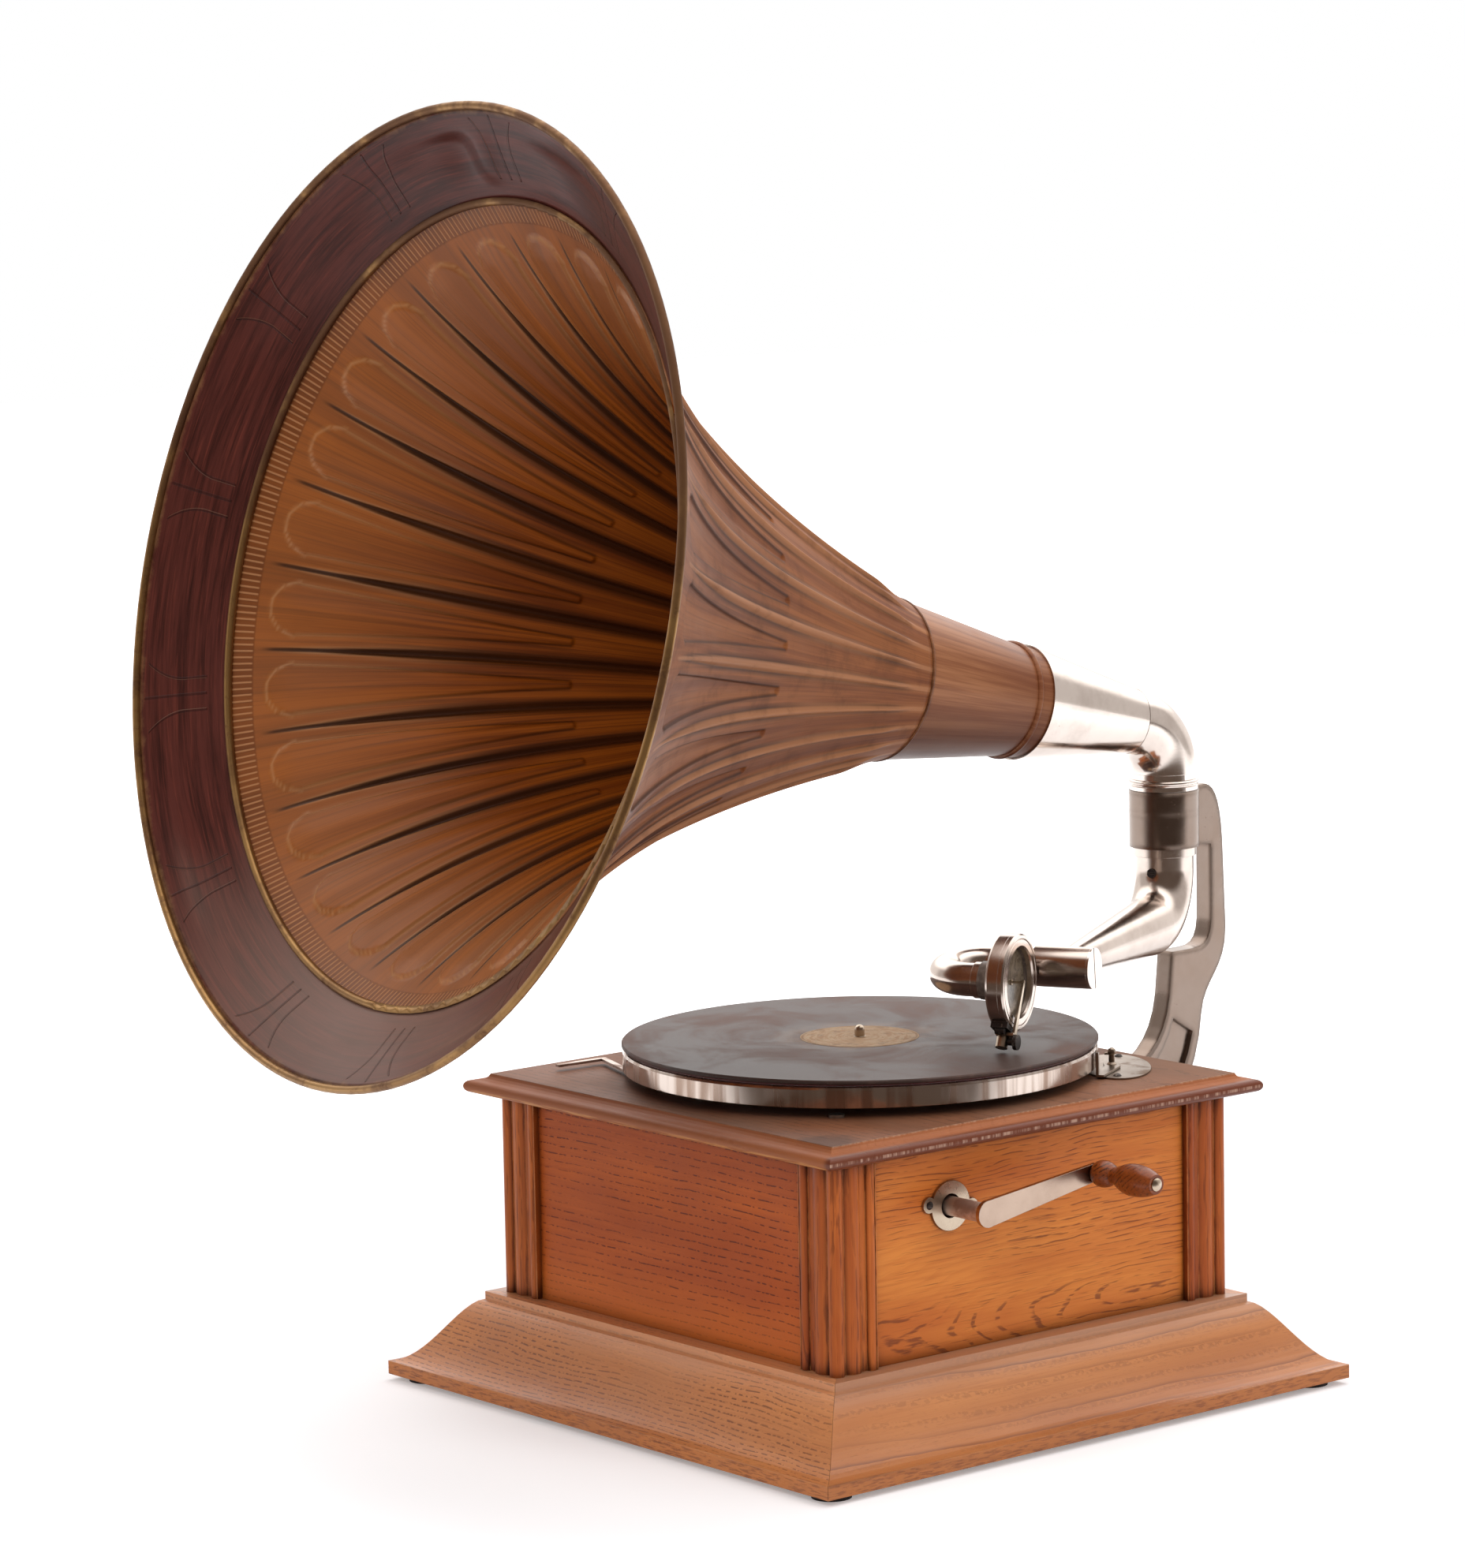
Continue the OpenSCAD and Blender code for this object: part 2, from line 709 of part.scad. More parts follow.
module motor_pillars() {
    color(brass)
        for (p = bolt_pos)
            translate([p[0], p[1], 0]) {
                translate([0, 0, motor_low])
                    difference() {
                        cylinder(h = motor_top - plate_t - motor_low, r = 5.5);
                        translate([0, 0, -1]) cylinder(h = motor_top - motor_low, r = bolt_r);
                    }
                translate([0, 0, motor_top])
                    difference() {
                        cylinder(h = wall_top - motor_top, r = 8);
                        translate([0, 0, -1]) cylinder(h = wall_top - motor_top + 2, r = bolt_r);
                    }
            }
}

module motor_bolts() {
    color(steel)
        for (p = bolt_pos)
            translate([p[0], p[1], 0]) {
                translate([0, 0, motor_low - plate_t - 4])
                    cylinder(h = lid_z - motor_low + plate_t + 4, r = bolt_r - 0.1);
                translate([0, 0, lid_z]) cylinder(h = 1.8, r = 5);
                translate([0, 0, motor_low - plate_t - 4]) cylinder(h = 4, r = 5.5, $fn = 6);
            }
}

barrel_z = motor_low + 3;

module spring_barrel() {
    color(brass)
        translate([barrel_pos[0], barrel_pos[1], 0])
            difference() {
                union() {
                    translate([0, 0, barrel_z]) cylinder(h = barrel_h, r = barrel_r);
                    translate([0, 0, barrel_z + barrel_h - eps])
                        cylinder(h = low_mesh_z - barrel_z - barrel_h + eps, r = barrel_r - 6);
                    translate([0, 0, low_mesh_z])
                        gear(gear_m, barrel_teeth, gear_w, az_ib + 180 + 180 / barrel_teeth);
                }
                translate([0, 0, barrel_z + 1.5]) cylinder(h = barrel_h - 3, r = barrel_r - 1.5);
                translate([0, 0, barrel_z - 1]) cylinder(h = barrel_h + 30, r = arbor_r + 1 + run_fit);
            }
}

spring_turns = 10;
spring_in = 5.8;
spring_out = barrel_r - 1.7;
// The ribbon lies in closer coils towards the barrel's wall
function spring_r(t) = mix(spring_in, spring_out, pow(t, 0.75));
function spring_point(t, r) = r * [cos(360 * spring_turns * t), sin(360 * spring_turns * t)];

module mainspring() {
    n = 22 * spring_turns;
    color(steel)
        translate([barrel_pos[0], barrel_pos[1], barrel_z + 1.5])
            linear_extrude(barrel_h - 3 - seat_gap)
                polygon(concat([for (i = [0 : n]) spring_point(i / n, spring_r(i / n))],
                    [for (i = [n : -1 : 0]) spring_point(i / n, spring_r(i / n) - 0.7)]));
}

module barrel_arbor() {
    color(steel)
        translate([barrel_pos[0], barrel_pos[1], 0]) {
            translate([0, 0, motor_low - plate_t + 0.5])
                cylinder(h = motor_top - motor_low + plate_t - 1, r = arbor_r);
            translate([0, 0, barrel_z]) cylinder(h = crown_z - barrel_z, r = arbor_r + 1);
        }
}

wind_r = wind_m * wind_pinion_teeth / 2;
crown_r = wind_m * crown_teeth / 2;
crown_z = crank_z - wind_r - wind_m * 1.25 - 2.5;

module crown_wheel() {
    tooth_w = PI * wind_m / 2 - backlash;
    color(brass)
        translate([barrel_pos[0], barrel_pos[1], crown_z])
            difference() {
                union() {
                    cylinder(h = 2.5, r = crown_r + 2);
                    for (i = [0 : crown_teeth - 1])
                        rotate([0, 0, 360 * (i + 0.5) / crown_teeth])
                            translate([crown_r + 2, 0, 2.5 - eps])
                                rotate([90, 0, -90])
                                    linear_extrude(4)
                                        polygon([[-tooth_w * 0.68, 0], [tooth_w * 0.68, 0],
                                            [tooth_w * 0.24, 2.1 * wind_m], [-tooth_w * 0.24, 2.1 * wind_m]]);
                }
                translate([0, 0, -1]) cylinder(h = 8, r = arbor_r + 0.02);
            }
}

shaft_in = barrel_pos[0] + crown_r - 6;

module winding_shaft() {
    color(steel)
        translate([0, -crank_y, crank_z])
            rotate([0, 90, 0]) {
                translate([0, 0, shaft_in]) cylinder(h = panel_face - 10 - shaft_in, r = arbor_r);
                translate([0, 0, shaft_in + 2])
                    difference() {
                        gear(wind_m, wind_pinion_teeth, 8, 0);
                        translate([0, 0, -1]) cylinder(h = 1, r = 2);
                    }
            }
}

bearing_x = 100;

// The winding shaft's bearing hangs from the upper plate, the governor's two stand on the lower one
module shaft_bearings() {
    top = motor_top - plate_t;
    color(steel) {
        difference() {
            translate([bearing_x - 4, -crank_y - 9, crank_z - 9]) cube([8, 18, top - crank_z + 9]);
            translate([bearing_x - 5, -crank_y, crank_z])
                rotate([0, 90, 0]) cylinder(h = 10, r = arbor_r + run_fit);
        }
        for (x = [gov_left, gov_right - 4])
            difference() {
                translate([x, governor_y - 4, motor_low]) cube([4, 8, governor_z + 5 - motor_low]);
                on_governor_axis(x - 1) cylinder(h = 6, r = governor_r + run_fit);
            }
    }
}

module idler_gears() {
    color(brass)
        translate([idler_pos[0], idler_pos[1], 0]) {
            translate([0, 0, motor_low - plate_t + 0.5])
                cylinder(h = motor_top - motor_low + plate_t - 1, r = idler_r);
            translate([0, 0, motor_low + 1])
                cylinder(h = motor_top - plate_t - motor_low - 2, r = idler_r + 1);
            translate([0, 0, low_mesh_z - 1]) gear(gear_m, spur_small, gear_w + 2, az_ib);
            translate([0, 0, high_mesh_z]) gear(gear_m, spur_big, gear_w, az_si + 180 + 180 / spur_big);
        }
}

// The governor turns about an axis along X
module on_governor_axis(x) {
    translate([x, governor_y, governor_z]) rotate([0, 90, 0]) children();
}

worm_len = 12;
worm_lead = worm_starts * PI * gear_m;
gov_left = -80;
gov_right = 11;

collar_x = gov_left + 8;
weight_x = -50;

module governor_shaft() {
    color(steel) {
        on_governor_axis(gov_left) cylinder(h = gov_right - gov_left, r = governor_r);
        on_governor_axis(-worm_len / 2)
            linear_extrude(worm_len, twist = 360 * worm_len / worm_lead, slices = 30, $fn = 24)
                worm_section();
        on_governor_axis(collar_x) cylinder(h = 4, r = 6);
    }
}

// Three starts round the worm
module worm_section() {
    circle(3.6, $fn = 18);
    for (k = [0 : worm_starts - 1])
        rotate([0, 0, 360 * k / worm_starts]) polygon([[0, -1.6], [5, -0.6], [5, 0.6], [0, 1.6]]);
}

module governor_disc() {
    color(brass)
        difference() {
            union() {
                on_governor_axis(disc_x) cylinder(h = disc_t, r = disc_r);
                on_governor_axis(disc_x - 5) cylinder(h = 5 + eps, r = 5);
            }
            on_governor_axis(disc_x - 6) cylinder(h = 10, r = governor_r + run_fit);
        }
}

module governor_weights() {
    color(brass)
        for (k = [0 : 2])
            on_governor_axis(weight_x - 4)
                rotate([0, 0, 120 * k]) translate([10.5, 0, 0]) cylinder(h = 8, r = 5);
}

module governor_springs() {
    a = collar_x + 4;
    b = disc_x - 5;
    color(steel)
        for (k = [0 : 2], s = [0, 1])
            translate([0, governor_y, governor_z])
                rotate([120 * k - 90, 0, 0])
                    linear_extrude(4, center = true)
                        polygon(s == 0
                            ? [[a, 5], [a, 5.4], [weight_x - 4, 10.9], [weight_x - 4, 10.5]]
                            : [[weight_x + 4, 10.5], [weight_x + 4, 10.9], [b, 4.9], [b, 4.5]]);
}

// Crank

module in_crank_frame() {
    translate([panel_face + crank_out, -crank_y, crank_z])
        rotate([crank_rest, 0, 0]) children();
}

module crank_tube() {
    color(nickel)
        translate([panel_face - panel_t - 22, -crank_y, crank_z])
            rotate([0, 90, 0])
                difference() {
                    cylinder(h = crank_out + panel_t + 22, r = crank_tube_r);
                    translate([0, 0, -1]) cylinder(h = 23, r = arbor_r + 0.02);
                }
}

module crank_arm() {
    color(nickel)
        in_crank_frame()
            difference() {
                union() {
                    rotate([0, 90, 0]) cylinder(h = arm_t, r = arm_wide / 2);
                    translate([0, crank_arm_len, 0])
                        rotate([0, 90, 0]) cylinder(h = arm_t, r = arm_narrow / 2);
                    rotate([90, 0, 90])
                        linear_extrude(arm_t)
                            polygon([[0, 0.1 - arm_wide / 2], [crank_arm_len, 0.1 - arm_narrow / 2],
                                [crank_arm_len, arm_narrow / 2 - 0.1], [0, arm_wide / 2 - 0.1]]);
                }
                translate([-1, crank_arm_len, 0])
                    rotate([0, 90, 0]) cylinder(h = arm_t + 2, r = grip_pin_r + 0.02);
            }
}

grip_x = arm_t + seat_gap;

module handle_pin() {
    color(steel)
        in_crank_frame()
            translate([0, crank_arm_len, 0]) {
                translate([-1.2, 0, 0]) rotate([0, 90, 0]) cylinder(h = 1.2, r = grip_pin_r + 1.5);
                rotate([0, 90, 0]) cylinder(h = grip_x + grip_len + seat_gap, r = grip_pin_r);
                translate([grip_x + grip_len + seat_gap, 0, 0])
                    rotate([0, 90, 0])
                        intersection() {
                            translate([0, 0, -3.6]) sphere(5.6);
                            cylinder(h = 4, r = 4);
                        }
            }
}

module crank_handle() {
    g = grip_r;
    l = grip_len;
    side = concat([[0, 0]], curve([[5.6, 0], [9.4, 3], [9.4, 10], [5.2, 15]], 8),
        curve([[5.2, 15], [4.2, 20], [g + 1.2, 24], [g, 36]], 8),
        curve([[g, 36], [g - 0.4, l - 7], [7, l - 4], [6, l]], 8), [[0, l]]);
    color(dark_wood)
        in_crank_frame()
            translate([grip_x, crank_arm_len, 0])
                rotate([0, 90, 0])
                    difference() {
                        rotate_extrude() polygon(side);
                        translate([0, 0, -1]) cylinder(h = l + 2, r = grip_pin_r + run_fit);
                    }
}

// Bracket behind the case. Its outline lies in the plane of Y and Z.

foot_mid = plinth_top + 67;
back_face = panel_face;
foot_face = back_face + bracket_foot_t;
collar_top = collar_z + collar_h;
rise_in = pivot_y + 36;
rise_out = pivot_y + 49;
knee_z = arm_z - arm_r - 2;
inner_sweep = [[foot_face - 1, foot_mid + 37], [pivot_y - 52, foot_mid + 40],
    [pivot_y - 10, knee_z - 78], [pivot_y - 3, knee_z - 29]];
outer_sweep = [[pivot_y + 26, knee_z - 44], [pivot_y + 21, knee_z - 104],
    [pivot_y - 32, foot_mid - 33], [foot_face - 1, foot_mid - 37]];

module bracket_outline() {
    polygon(concat(
        curve(outer_sweep, 12), curve(inner_sweep, 12),
        [[pivot_y, knee_z]],
        curve([[pivot_y + 19, knee_z], [pivot_y + 33, knee_z],
            [rise_in, knee_z + 7], [rise_in, knee_z + 25]], 6),
        [[rise_in, collar_z - 2], [pivot_y + collar_r - 0.8, collar_z],
            [pivot_y + collar_r - 0.8, collar_top]],
        curve([[pivot_y + 31, collar_top + 1], [pivot_y + 41, collar_top - 1],
            [rise_out - 3, collar_top - 14], [rise_out - 2, collar_top - 50]], 8),
        curve([[rise_out, knee_z + 12], [rise_out, knee_z - 18],
            [pivot_y + 29, knee_z - 20], [pivot_y + 26, knee_z - 44]], 8)));
}

module bracket_pocket() {
    n = 12;
    polygon(concat(
        [for (i = [1 : n - 1]) mix(bez(inner_sweep, i / n), bez(outer_sweep, 1 - i / n), 0.2)],
        [for (i = [n - 1 : -1 : 1]) mix(bez(inner_sweep, i / n), bez(outer_sweep, 1 - i / n), 0.8)]));
}

module bracket() {
    color(nickel)
        difference() {
            union() {
                rotate([90, 0, 90]) linear_extrude(bracket_t, center = true) bracket_outline();
                translate([0, pivot_y, collar_z]) cylinder(h = collar_h, r = collar_r);
                translate([-bracket_foot_half, back_face, foot_mid - 40])
                    cube([2 * bracket_foot_half, bracket_foot_t, 80]);
            }
            translate([0, pivot_y, collar_z - 1]) cylinder(h = collar_h + 2, r = collar_bore_r);
            translate([0, pivot_y, collar_top - socket_h]) cylinder(h = socket_h + 1, r = socket_r);
            for (s = [-1, 1])
                translate([s * bracket_t / 2, 0, 0])
                    rotate([90, 0, 90]) linear_extrude(2 * pocket_d, center = true) bracket_pocket();
        }
}

module bracket_screws() {
    color(steel)
        for (x = [-1, 1], z = [-1, 1])
            translate([x * (bracket_foot_half - 10), foot_face, foot_mid + z * 29])
                rotate([-90, 0, 0])
                    difference() {
                        cylinder(h = 3, r1 = 5, r2 = 3.6);
                        translate([-6, -0.5, 2]) cube([12, 1, 2]);
                    }
}

// Tone arm: local +X runs along the cross tube and local -Y along the arm

module in_arm_frame() {
    translate([0, pivot_y, 0]) rotate([0, 0, arm_turn]) children();
}

module arm_solid(wall) {
    r = arm_r - wall;
    translate([0, 0, arm_z + arm_bend]) cylinder(h = collar_z - arm_z - arm_bend + 1, r = r);
    translate([0, -arm_bend, arm_z + arm_bend])
        rotate([0, 90, 0])
            rotate_extrude(angle = 90) translate([arm_bend, 0]) circle(r);
    translate([0, -arm_bend, arm_z])
        rotate([90, 0, 0]) cylinder(h = arm_len - arm_bend, r1 = r, r2 = arm_tip_r - wall);
}

flange_z = collar_top - socket_h + seat_gap;

module tone_arm() {
    color(nickel)
        in_arm_frame()
            difference() {
                union() {
                    arm_solid(0);
                    translate([0, 0, collar_z - seat_gap - 5.5]) cylinder(h = 5.5, r = arm_r + 1.6);
                    translate([0, 0, collar_z - seat_gap - eps])
                        cylinder(h = flange_z + 2.4 - collar_z + seat_gap, r = collar_bore_r - run_fit);
                    translate([0, 0, flange_z]) cylinder(h = 2.4, r = socket_r - 0.3);
                    translate([-cross_left, -arm_len, arm_z])
                        rotate([0, 90, 0]) cylinder(h = cross_left + cross_right, r = cross_r);
                }
                arm_solid(arm_wall);
                translate([0, 0, collar_z]) cylinder(h = collar_h, r = arm_r - arm_wall);
                translate([-cross_left - 1, -arm_len, arm_z])
                    rotate([0, 90, 0]) cylinder(h = cross_left + cross_right - 1, r = neck_r + run_fit);
                translate([0, 0, collar_z - 16])
                    rotate([90, 0, -6]) translate([0, 0, arm_r - 0.8]) cylinder(h = 3, r = 3.02);
            }
}

module arm_cap() {
    color(nickel)
        in_arm_frame()
            translate([cross_right, -arm_len, arm_z])
                rotate([0, 90, 0])
                    difference() {
                        cylinder(h = cap_t, r = cross_r);
                        rotate([0, 0, 6])
                            translate([-cross_r - 1, -0.6, cap_t - 0.6]) cube([2 * cross_r + 2, 1.2, 2]);
                    }
}

module arm_screw() {
    color(steel)
        in_arm_frame()
            translate([0, 0, collar_z - 16])
                rotate([90, 0, -6])
                    difference() {
                        translate([0, 0, arm_r - 0.8]) cylinder(h = 2.2, r = 3);
                        translate([-4, -0.4, arm_r + 0.7]) cube([8, 0.8, 2]);
                    }
}

// Gooseneck frame: origin on the cross tube's axis in the soundbox's plane
module in_neck_frame() {
    in_arm_frame()
        translate([-cross_left + 1.4, -arm_len, arm_z])
            rotate([neck_droop, 0, 0]) children();
}

module neck_solid(wall) {
    r = neck_r - wall;
    translate([-neck_reach, 0, 0])
        rotate([0, 90, 0]) cylinder(h = neck_reach + cross_left + cross_right - 6, r = r);
    translate([-neck_reach, -neck_gap / 2, 0])
        rotate([0, 0, 90]) rotate_extrude(angle = 180) translate([neck_gap / 2, 0]) circle(r);
    translate([-neck_reach, -neck_gap, 0])
        rotate([0, 90, 0]) cylinder(h = neck_reach - box_back - iso_t, r = r);
}

box_back = box_t - 1;
iso_t = 12;

module gooseneck() {
    color(nickel)
        in_neck_frame()
            difference() {
                union() {
                    neck_solid(0);
                    translate([-box_back - iso_t - 4.5, -neck_gap, 0])
                        rotate([0, 90, 0]) cylinder(h = 4.5, r = neck_r + 0.9);
                }
                translate([eps, 0, 0]) neck_solid(1);
                translate([cross_left - 1.4, 0, 0])
                    rotate([-90, 0, 0]) cylinder(h = neck_r + 1, r = arm_tip_r - arm_wall);
            }
}

// Soundbox frame: local +X is the disc's axis, and the stylus bar points down
module in_box_frame() {
    in_neck_frame()
        translate([0, -neck_gap, 0]) rotate([-bar_lean - neck_droop, 0, 0]) children();
}

// Turns a profile of [radius, distance along the disc's axis] about that axis
module turned(profile) {
    rotate([0, 90, 0]) rotate_extrude() polygon(profile);
}

module soundbox_isolator() {
    color([0.12, 0.1, 0.09])
        in_box_frame()
            turned([[6, -box_back - iso_t], [12, -box_back - iso_t], [12.6, -box_back], [6, -box_back]]);
}

module soundbox_body() {
    b = -box_back;
    color(nickel)
        in_box_frame()
            turned([[6, b], [box_r - 2, b], [box_r - 0.6, b + 0.7], [box_r, b + 2], [box_r, 1],
                [box_r - 4, 1], [box_r - 4, b + 2.4], [6, b + 2.4]]);
}

diaphragm_x = -1.6;
diaphragm_t = 0.3;

module soundbox_gaskets() {
    ro = box_r - 4.1;
    ri = window_r + 0.6;
    color([0.1, 0.09, 0.08])
        in_box_frame() {
            turned([[ri, 2.4 - box_back], [ro, 2.4 - box_back], [ro, diaphragm_x], [ri, diaphragm_x]]);
            turned([[ri, diaphragm_x + diaphragm_t], [ro, diaphragm_x + diaphragm_t], [ro, 1], [ri, 1]]);
        }
}

module diaphragm() {
    color([0.55, 0.5, 0.42])
        in_box_frame()
            translate([diaphragm_x, 0, 0]) rotate([0, 90, 0]) cylinder(h = diaphragm_t, r = box_r - 4.1);
}

module front_ring() {
    f = 1 + front_t;
    color(nickel)
        in_box_frame()
            turned([[window_r, 1], [box_r, 1], [box_r, f - 1.2], [box_r - 1.2, f],
                [box_r - 3, f], [box_r - 3.4, f - 0.5], [box_r - 3.8, f],
                [window_r + 1, f], [window_r, f - 1]]);
}

bar_x = front_t + 3;
saddle_top = box_r + 0.2;
arm_low = saddle_top + 5.6;

module stylus_bar() {
    color(steel)
        in_box_frame()
            difference() {
                union() {
                    translate([diaphragm_x + diaphragm_t, 0, 0]) rotate([0, 90, 0]) cylinder(h = 1, r = 2);
                    translate([diaphragm_x + diaphragm_t, 0, 0])
                        rotate([0, 90, 0]) cylinder(h = bar_x - diaphragm_x - diaphragm_t, r = 0.9);
                    translate([bar_x - 0.8, 0, 0])
                        rotate([90, 0, 90])
                            linear_extrude(1.6)
                                polygon([[-1.1, 1.4], [1.1, 1.4], [2.2, -arm_low], [-2.2, -arm_low]]);
                    translate([-chuck_r, -chuck_r, -arm_low]) cube([chuck_r + bar_x + 0.8, 2 * chuck_r, 2]);
                    translate([0, 0, -chuck_end]) cylinder(h = chuck_end - arm_low + 1, r = chuck_r);
                }
                translate([0, 0, -chuck_end - 1]) cylinder(h = needle_deep + 1, r = needle_r);
                translate([0, 0, -screw_z]) rotate([0, 90, 0]) cylinder(h = 8, r = 1.1 + run_fit);
            }
}

screw_z = chuck_end - 4.2;

module bar_saddle() {
    color([0.2, 0.19, 0.18])
        in_box_frame() {
            difference() {
                translate([-6, -9, -saddle_top - 2.4]) cube([11, 18, 8]);
                rotate([0, 90, 0]) translate([0, 0, -10]) cylinder(h = 20, r = box_r);
            }
            for (s = [-1, 1])
                translate([-3, s * 6.6, -saddle_top - 4]) rotate([0, 90, 0]) cylinder(h = 6, r = 2);
        }
}

module thumbscrew() {
    color([0.3, 0.29, 0.27])
        in_box_frame()
            translate([0, 0, -screw_z])
                rotate([0, 90, 0]) {
                    translate([0, 0, needle_r + 0.4]) cylinder(h = bar_x, r = 1.1);
                    translate([0, 0, bar_x + 1.1]) cylinder(h = 2.4, r = 4.8);
                    translate([0, 0, chuck_r + 0.4]) cylinder(h = bar_x - chuck_r + 1, r = 2.2);
                }
}

// Horn: local +Z runs along the horn's axis from the pivot axis to the mouth

module in_pivot_frame() {
    translate([0, pivot_y, 0]) rotate([0, 0, horn_turn]) children();
}

module in_horn_frame() {
    in_pivot_frame() translate([0, 0, horn_z]) rotate([90 - horn_rise, 0, 0]) children();
}

bend_angle = 90 - horn_rise;
bend_in = elbow_bend * tan(bend_angle / 2);

lip_z = collar_top + seat_gap;

module elbow_solid(wall) {
    r = elbow_r - wall;
    in_pivot_frame() {
        translate([0, 0, lip_z + 2]) cylinder(h = horn_z - bend_in - lip_z - 1.5, r = r - 0.2);
        translate([0, -elbow_bend, horn_z - bend_in])
            rotate([90, 0, 90])
                rotate_extrude(angle = bend_angle) translate([elbow_bend, 0]) circle(r);
    }
    in_horn_frame()
        translate([0, 0, bend_in - 0.5])
            cylinder(h = mouth_at - bend_in + 0.5, r1 = r - 0.3, r2 = mouth_r - wall);
}

module horn_elbow() {
    color(nickel)
        difference() {
            union() {
                elbow_solid(0);
                in_pivot_frame()
                    rotate_extrude()
                        polygon(concat([[0, flange_z + 3], [socket_r - run_fit, flange_z + 3],
                            [socket_r - run_fit, lip_z], [elbow_r + 0.8, lip_z],
                            [elbow_r + 0.8, lip_z + 2.6],
                            [elbow_r + 0.2, lip_z + 3]],
                            [for (a = [-60 : 20 : 80])
                                [elbow_r - 0.3 + 1.5 * cos(a), lip_z + 5.2 + 1.5 * sin(a)]],
                            [[elbow_r - 0.4, lip_z + 8], [0, lip_z + 8]]));
            }
            elbow_solid(elbow_wall);
            in_pivot_frame()
                translate([0, 0, flange_z]) cylinder(h = lip_z + 4 - flange_z, r = elbow_r - elbow_wall);
            in_horn_frame() {
                translate([0, 0, mouth_at - 0.5]) cylinder(h = 2, r = mouth_r - elbow_wall - 0.05);
                translate([0, 0, mouth_at - 24])
                    rotate([90, 0, 0]) cylinder(h = mouth_r + 5, r = 2.6);
            }
        }
}

elbow_slope = (mouth_r - elbow_r) / (mouth_at - bend_in);
ring_at = mouth_at + neck_bead_at;
seam_at = ring_at + neck_len;
socket_in = 22;

module horn_neck() {
    r0 = mouth_r - elbow_wall - 0.15;
    r1 = r0 - socket_in * elbow_slope;
    t = sheet_t;
    color([0.45, 0.28, 0.18])
        in_horn_frame()
            rotate_extrude() {
                polygon([[r1, mouth_at - socket_in], [r0, mouth_at], [r0 + 0.1, ring_at],
                    [seam_r - 0.3, seam_at], [seam_r - 0.3 - t, seam_at], [r0 - t, ring_at],
                    [r0 - t, mouth_at], [r1 - t, mouth_at - socket_in]]);
                translate([r0 + 0.4, ring_at]) circle(1.9, $fn = 32);
                translate([seam_r - 0.2, seam_at - 0.9]) circle(0.9, $fn = 24);
            }
}

// Outer radius of the flared part at distance s from the seam
open_r = rim_r - seam_r - throat_slope * flare_len;
inner_bead_at = flare_len - border_len;
function flare_r(s) = let (u = s / flare_len)
    seam_r + throat_slope * s + open_r * (even_share * u * u + (1 - even_share) * pow(u, 5));
function flare_slope(s) = let (u = s / flare_len)
    throat_slope + open_r / flare_len * (2 * even_share * u + 5 * (1 - even_share) * pow(u, 4));

// Ribs fade out at both ends of the body
body_from = 0.3;
body_to = inner_bead_at - 0.3;
function fade(s) = min(1, max(0, (s - 22) / 50)) * min(1, max(0, (body_to - 14 - s) / 40));
rib_half = 3.4;
stations = 14;
function station(i) = mix(body_from, body_to, i / stations);
corners = 4 * panels;
function around(j) = 360 / panels * floor(j / 4);
// Offsets of the four corner lines in a panel: rib crest, rib foot, panel centre, rib foot
function line_turn(j, r) = let (foot = rib_half / r * 180 / PI, q = j % 4)
    q == 0 ? 0 : q == 1 ? foot : q == 2 ? 180 / panels : 360 / panels - foot;
function body_point(i, j, inner) = let (
    s = station(i), r = flare_r(s),
    lift = (j % 4 == 0 ? rib_h * fade(s) : 0) - (inner ? sheet_t : 0),
    k = 1 / norm([1, flare_slope(s)]),
    end = (i == 0 || i == stations) ? 0 : 1,
    rr = r + lift * k - (inner && end == 0 ? sheet_t * (1 / k - k) : 0),
    a = around(j) + line_turn(j, r) + rib_phase)
    [rr * cos(a), rr * sin(a), seam_at + s - lift * k * flare_slope(s) * end];
rib_phase = 93.9;

module horn_body() {
    n = corners;
    rings = stations + 1;
    pts = concat(
        [for (i = [0 : stations], j = [0 : n - 1]) body_point(i, j, false)],
        [for (i = [0 : stations], j = [0 : n - 1]) body_point(i, j, true)]);
    m = rings * n;
    faces = concat(
        [for (i = [0 : stations - 1], j = [0 : n - 1])
            [i * n + j, (i + 1) * n + j, (i + 1) * n + (j + 1) % n]],
        [for (i = [0 : stations - 1], j = [0 : n - 1])
            [i * n + j, (i + 1) * n + (j + 1) % n, i * n + (j + 1) % n]],
        [for (i = [0 : stations - 1], j = [0 : n - 1])
            [m + i * n + j, m + (i + 1) * n + (j + 1) % n, m + (i + 1) * n + j]],
        [for (i = [0 : stations - 1], j = [0 : n - 1])
            [m + i * n + j, m + i * n + (j + 1) % n, m + (i + 1) * n + (j + 1) % n]],
        [for (j = [0 : n - 1]) [j, (j + 1) % n, m + (j + 1) % n]],
        [for (j = [0 : n - 1]) [j, m + (j + 1) % n, m + j]],
        [for (j = [0 : n - 1]) let (a = stations * n, k = (j + 1) % n) [a + j, m + a + k, a + k]],
        [for (j = [0 : n - 1]) let (a = stations * n, k = (j + 1) % n) [a + j, m + a + j, m + a + k]]);
    color([0.6, 0.36, 0.2]) in_horn_frame() polyhedron(pts, faces);
}

// The sheet's section between two distances from the seam, as [radius, distance]
function sheet(s0, s1, n, extra) = concat(
    [for (i = [0 : n]) let (s = mix(s0, s1, i / n)) [flare_r(s) + extra, seam_at + s]],
    [for (i = [n : -1 : 0]) let (s = mix(s0, s1, i / n), k = sheet_t * norm([1, flare_slope(s)]))
        [flare_r(s) - k - extra, seam_at + s]]);

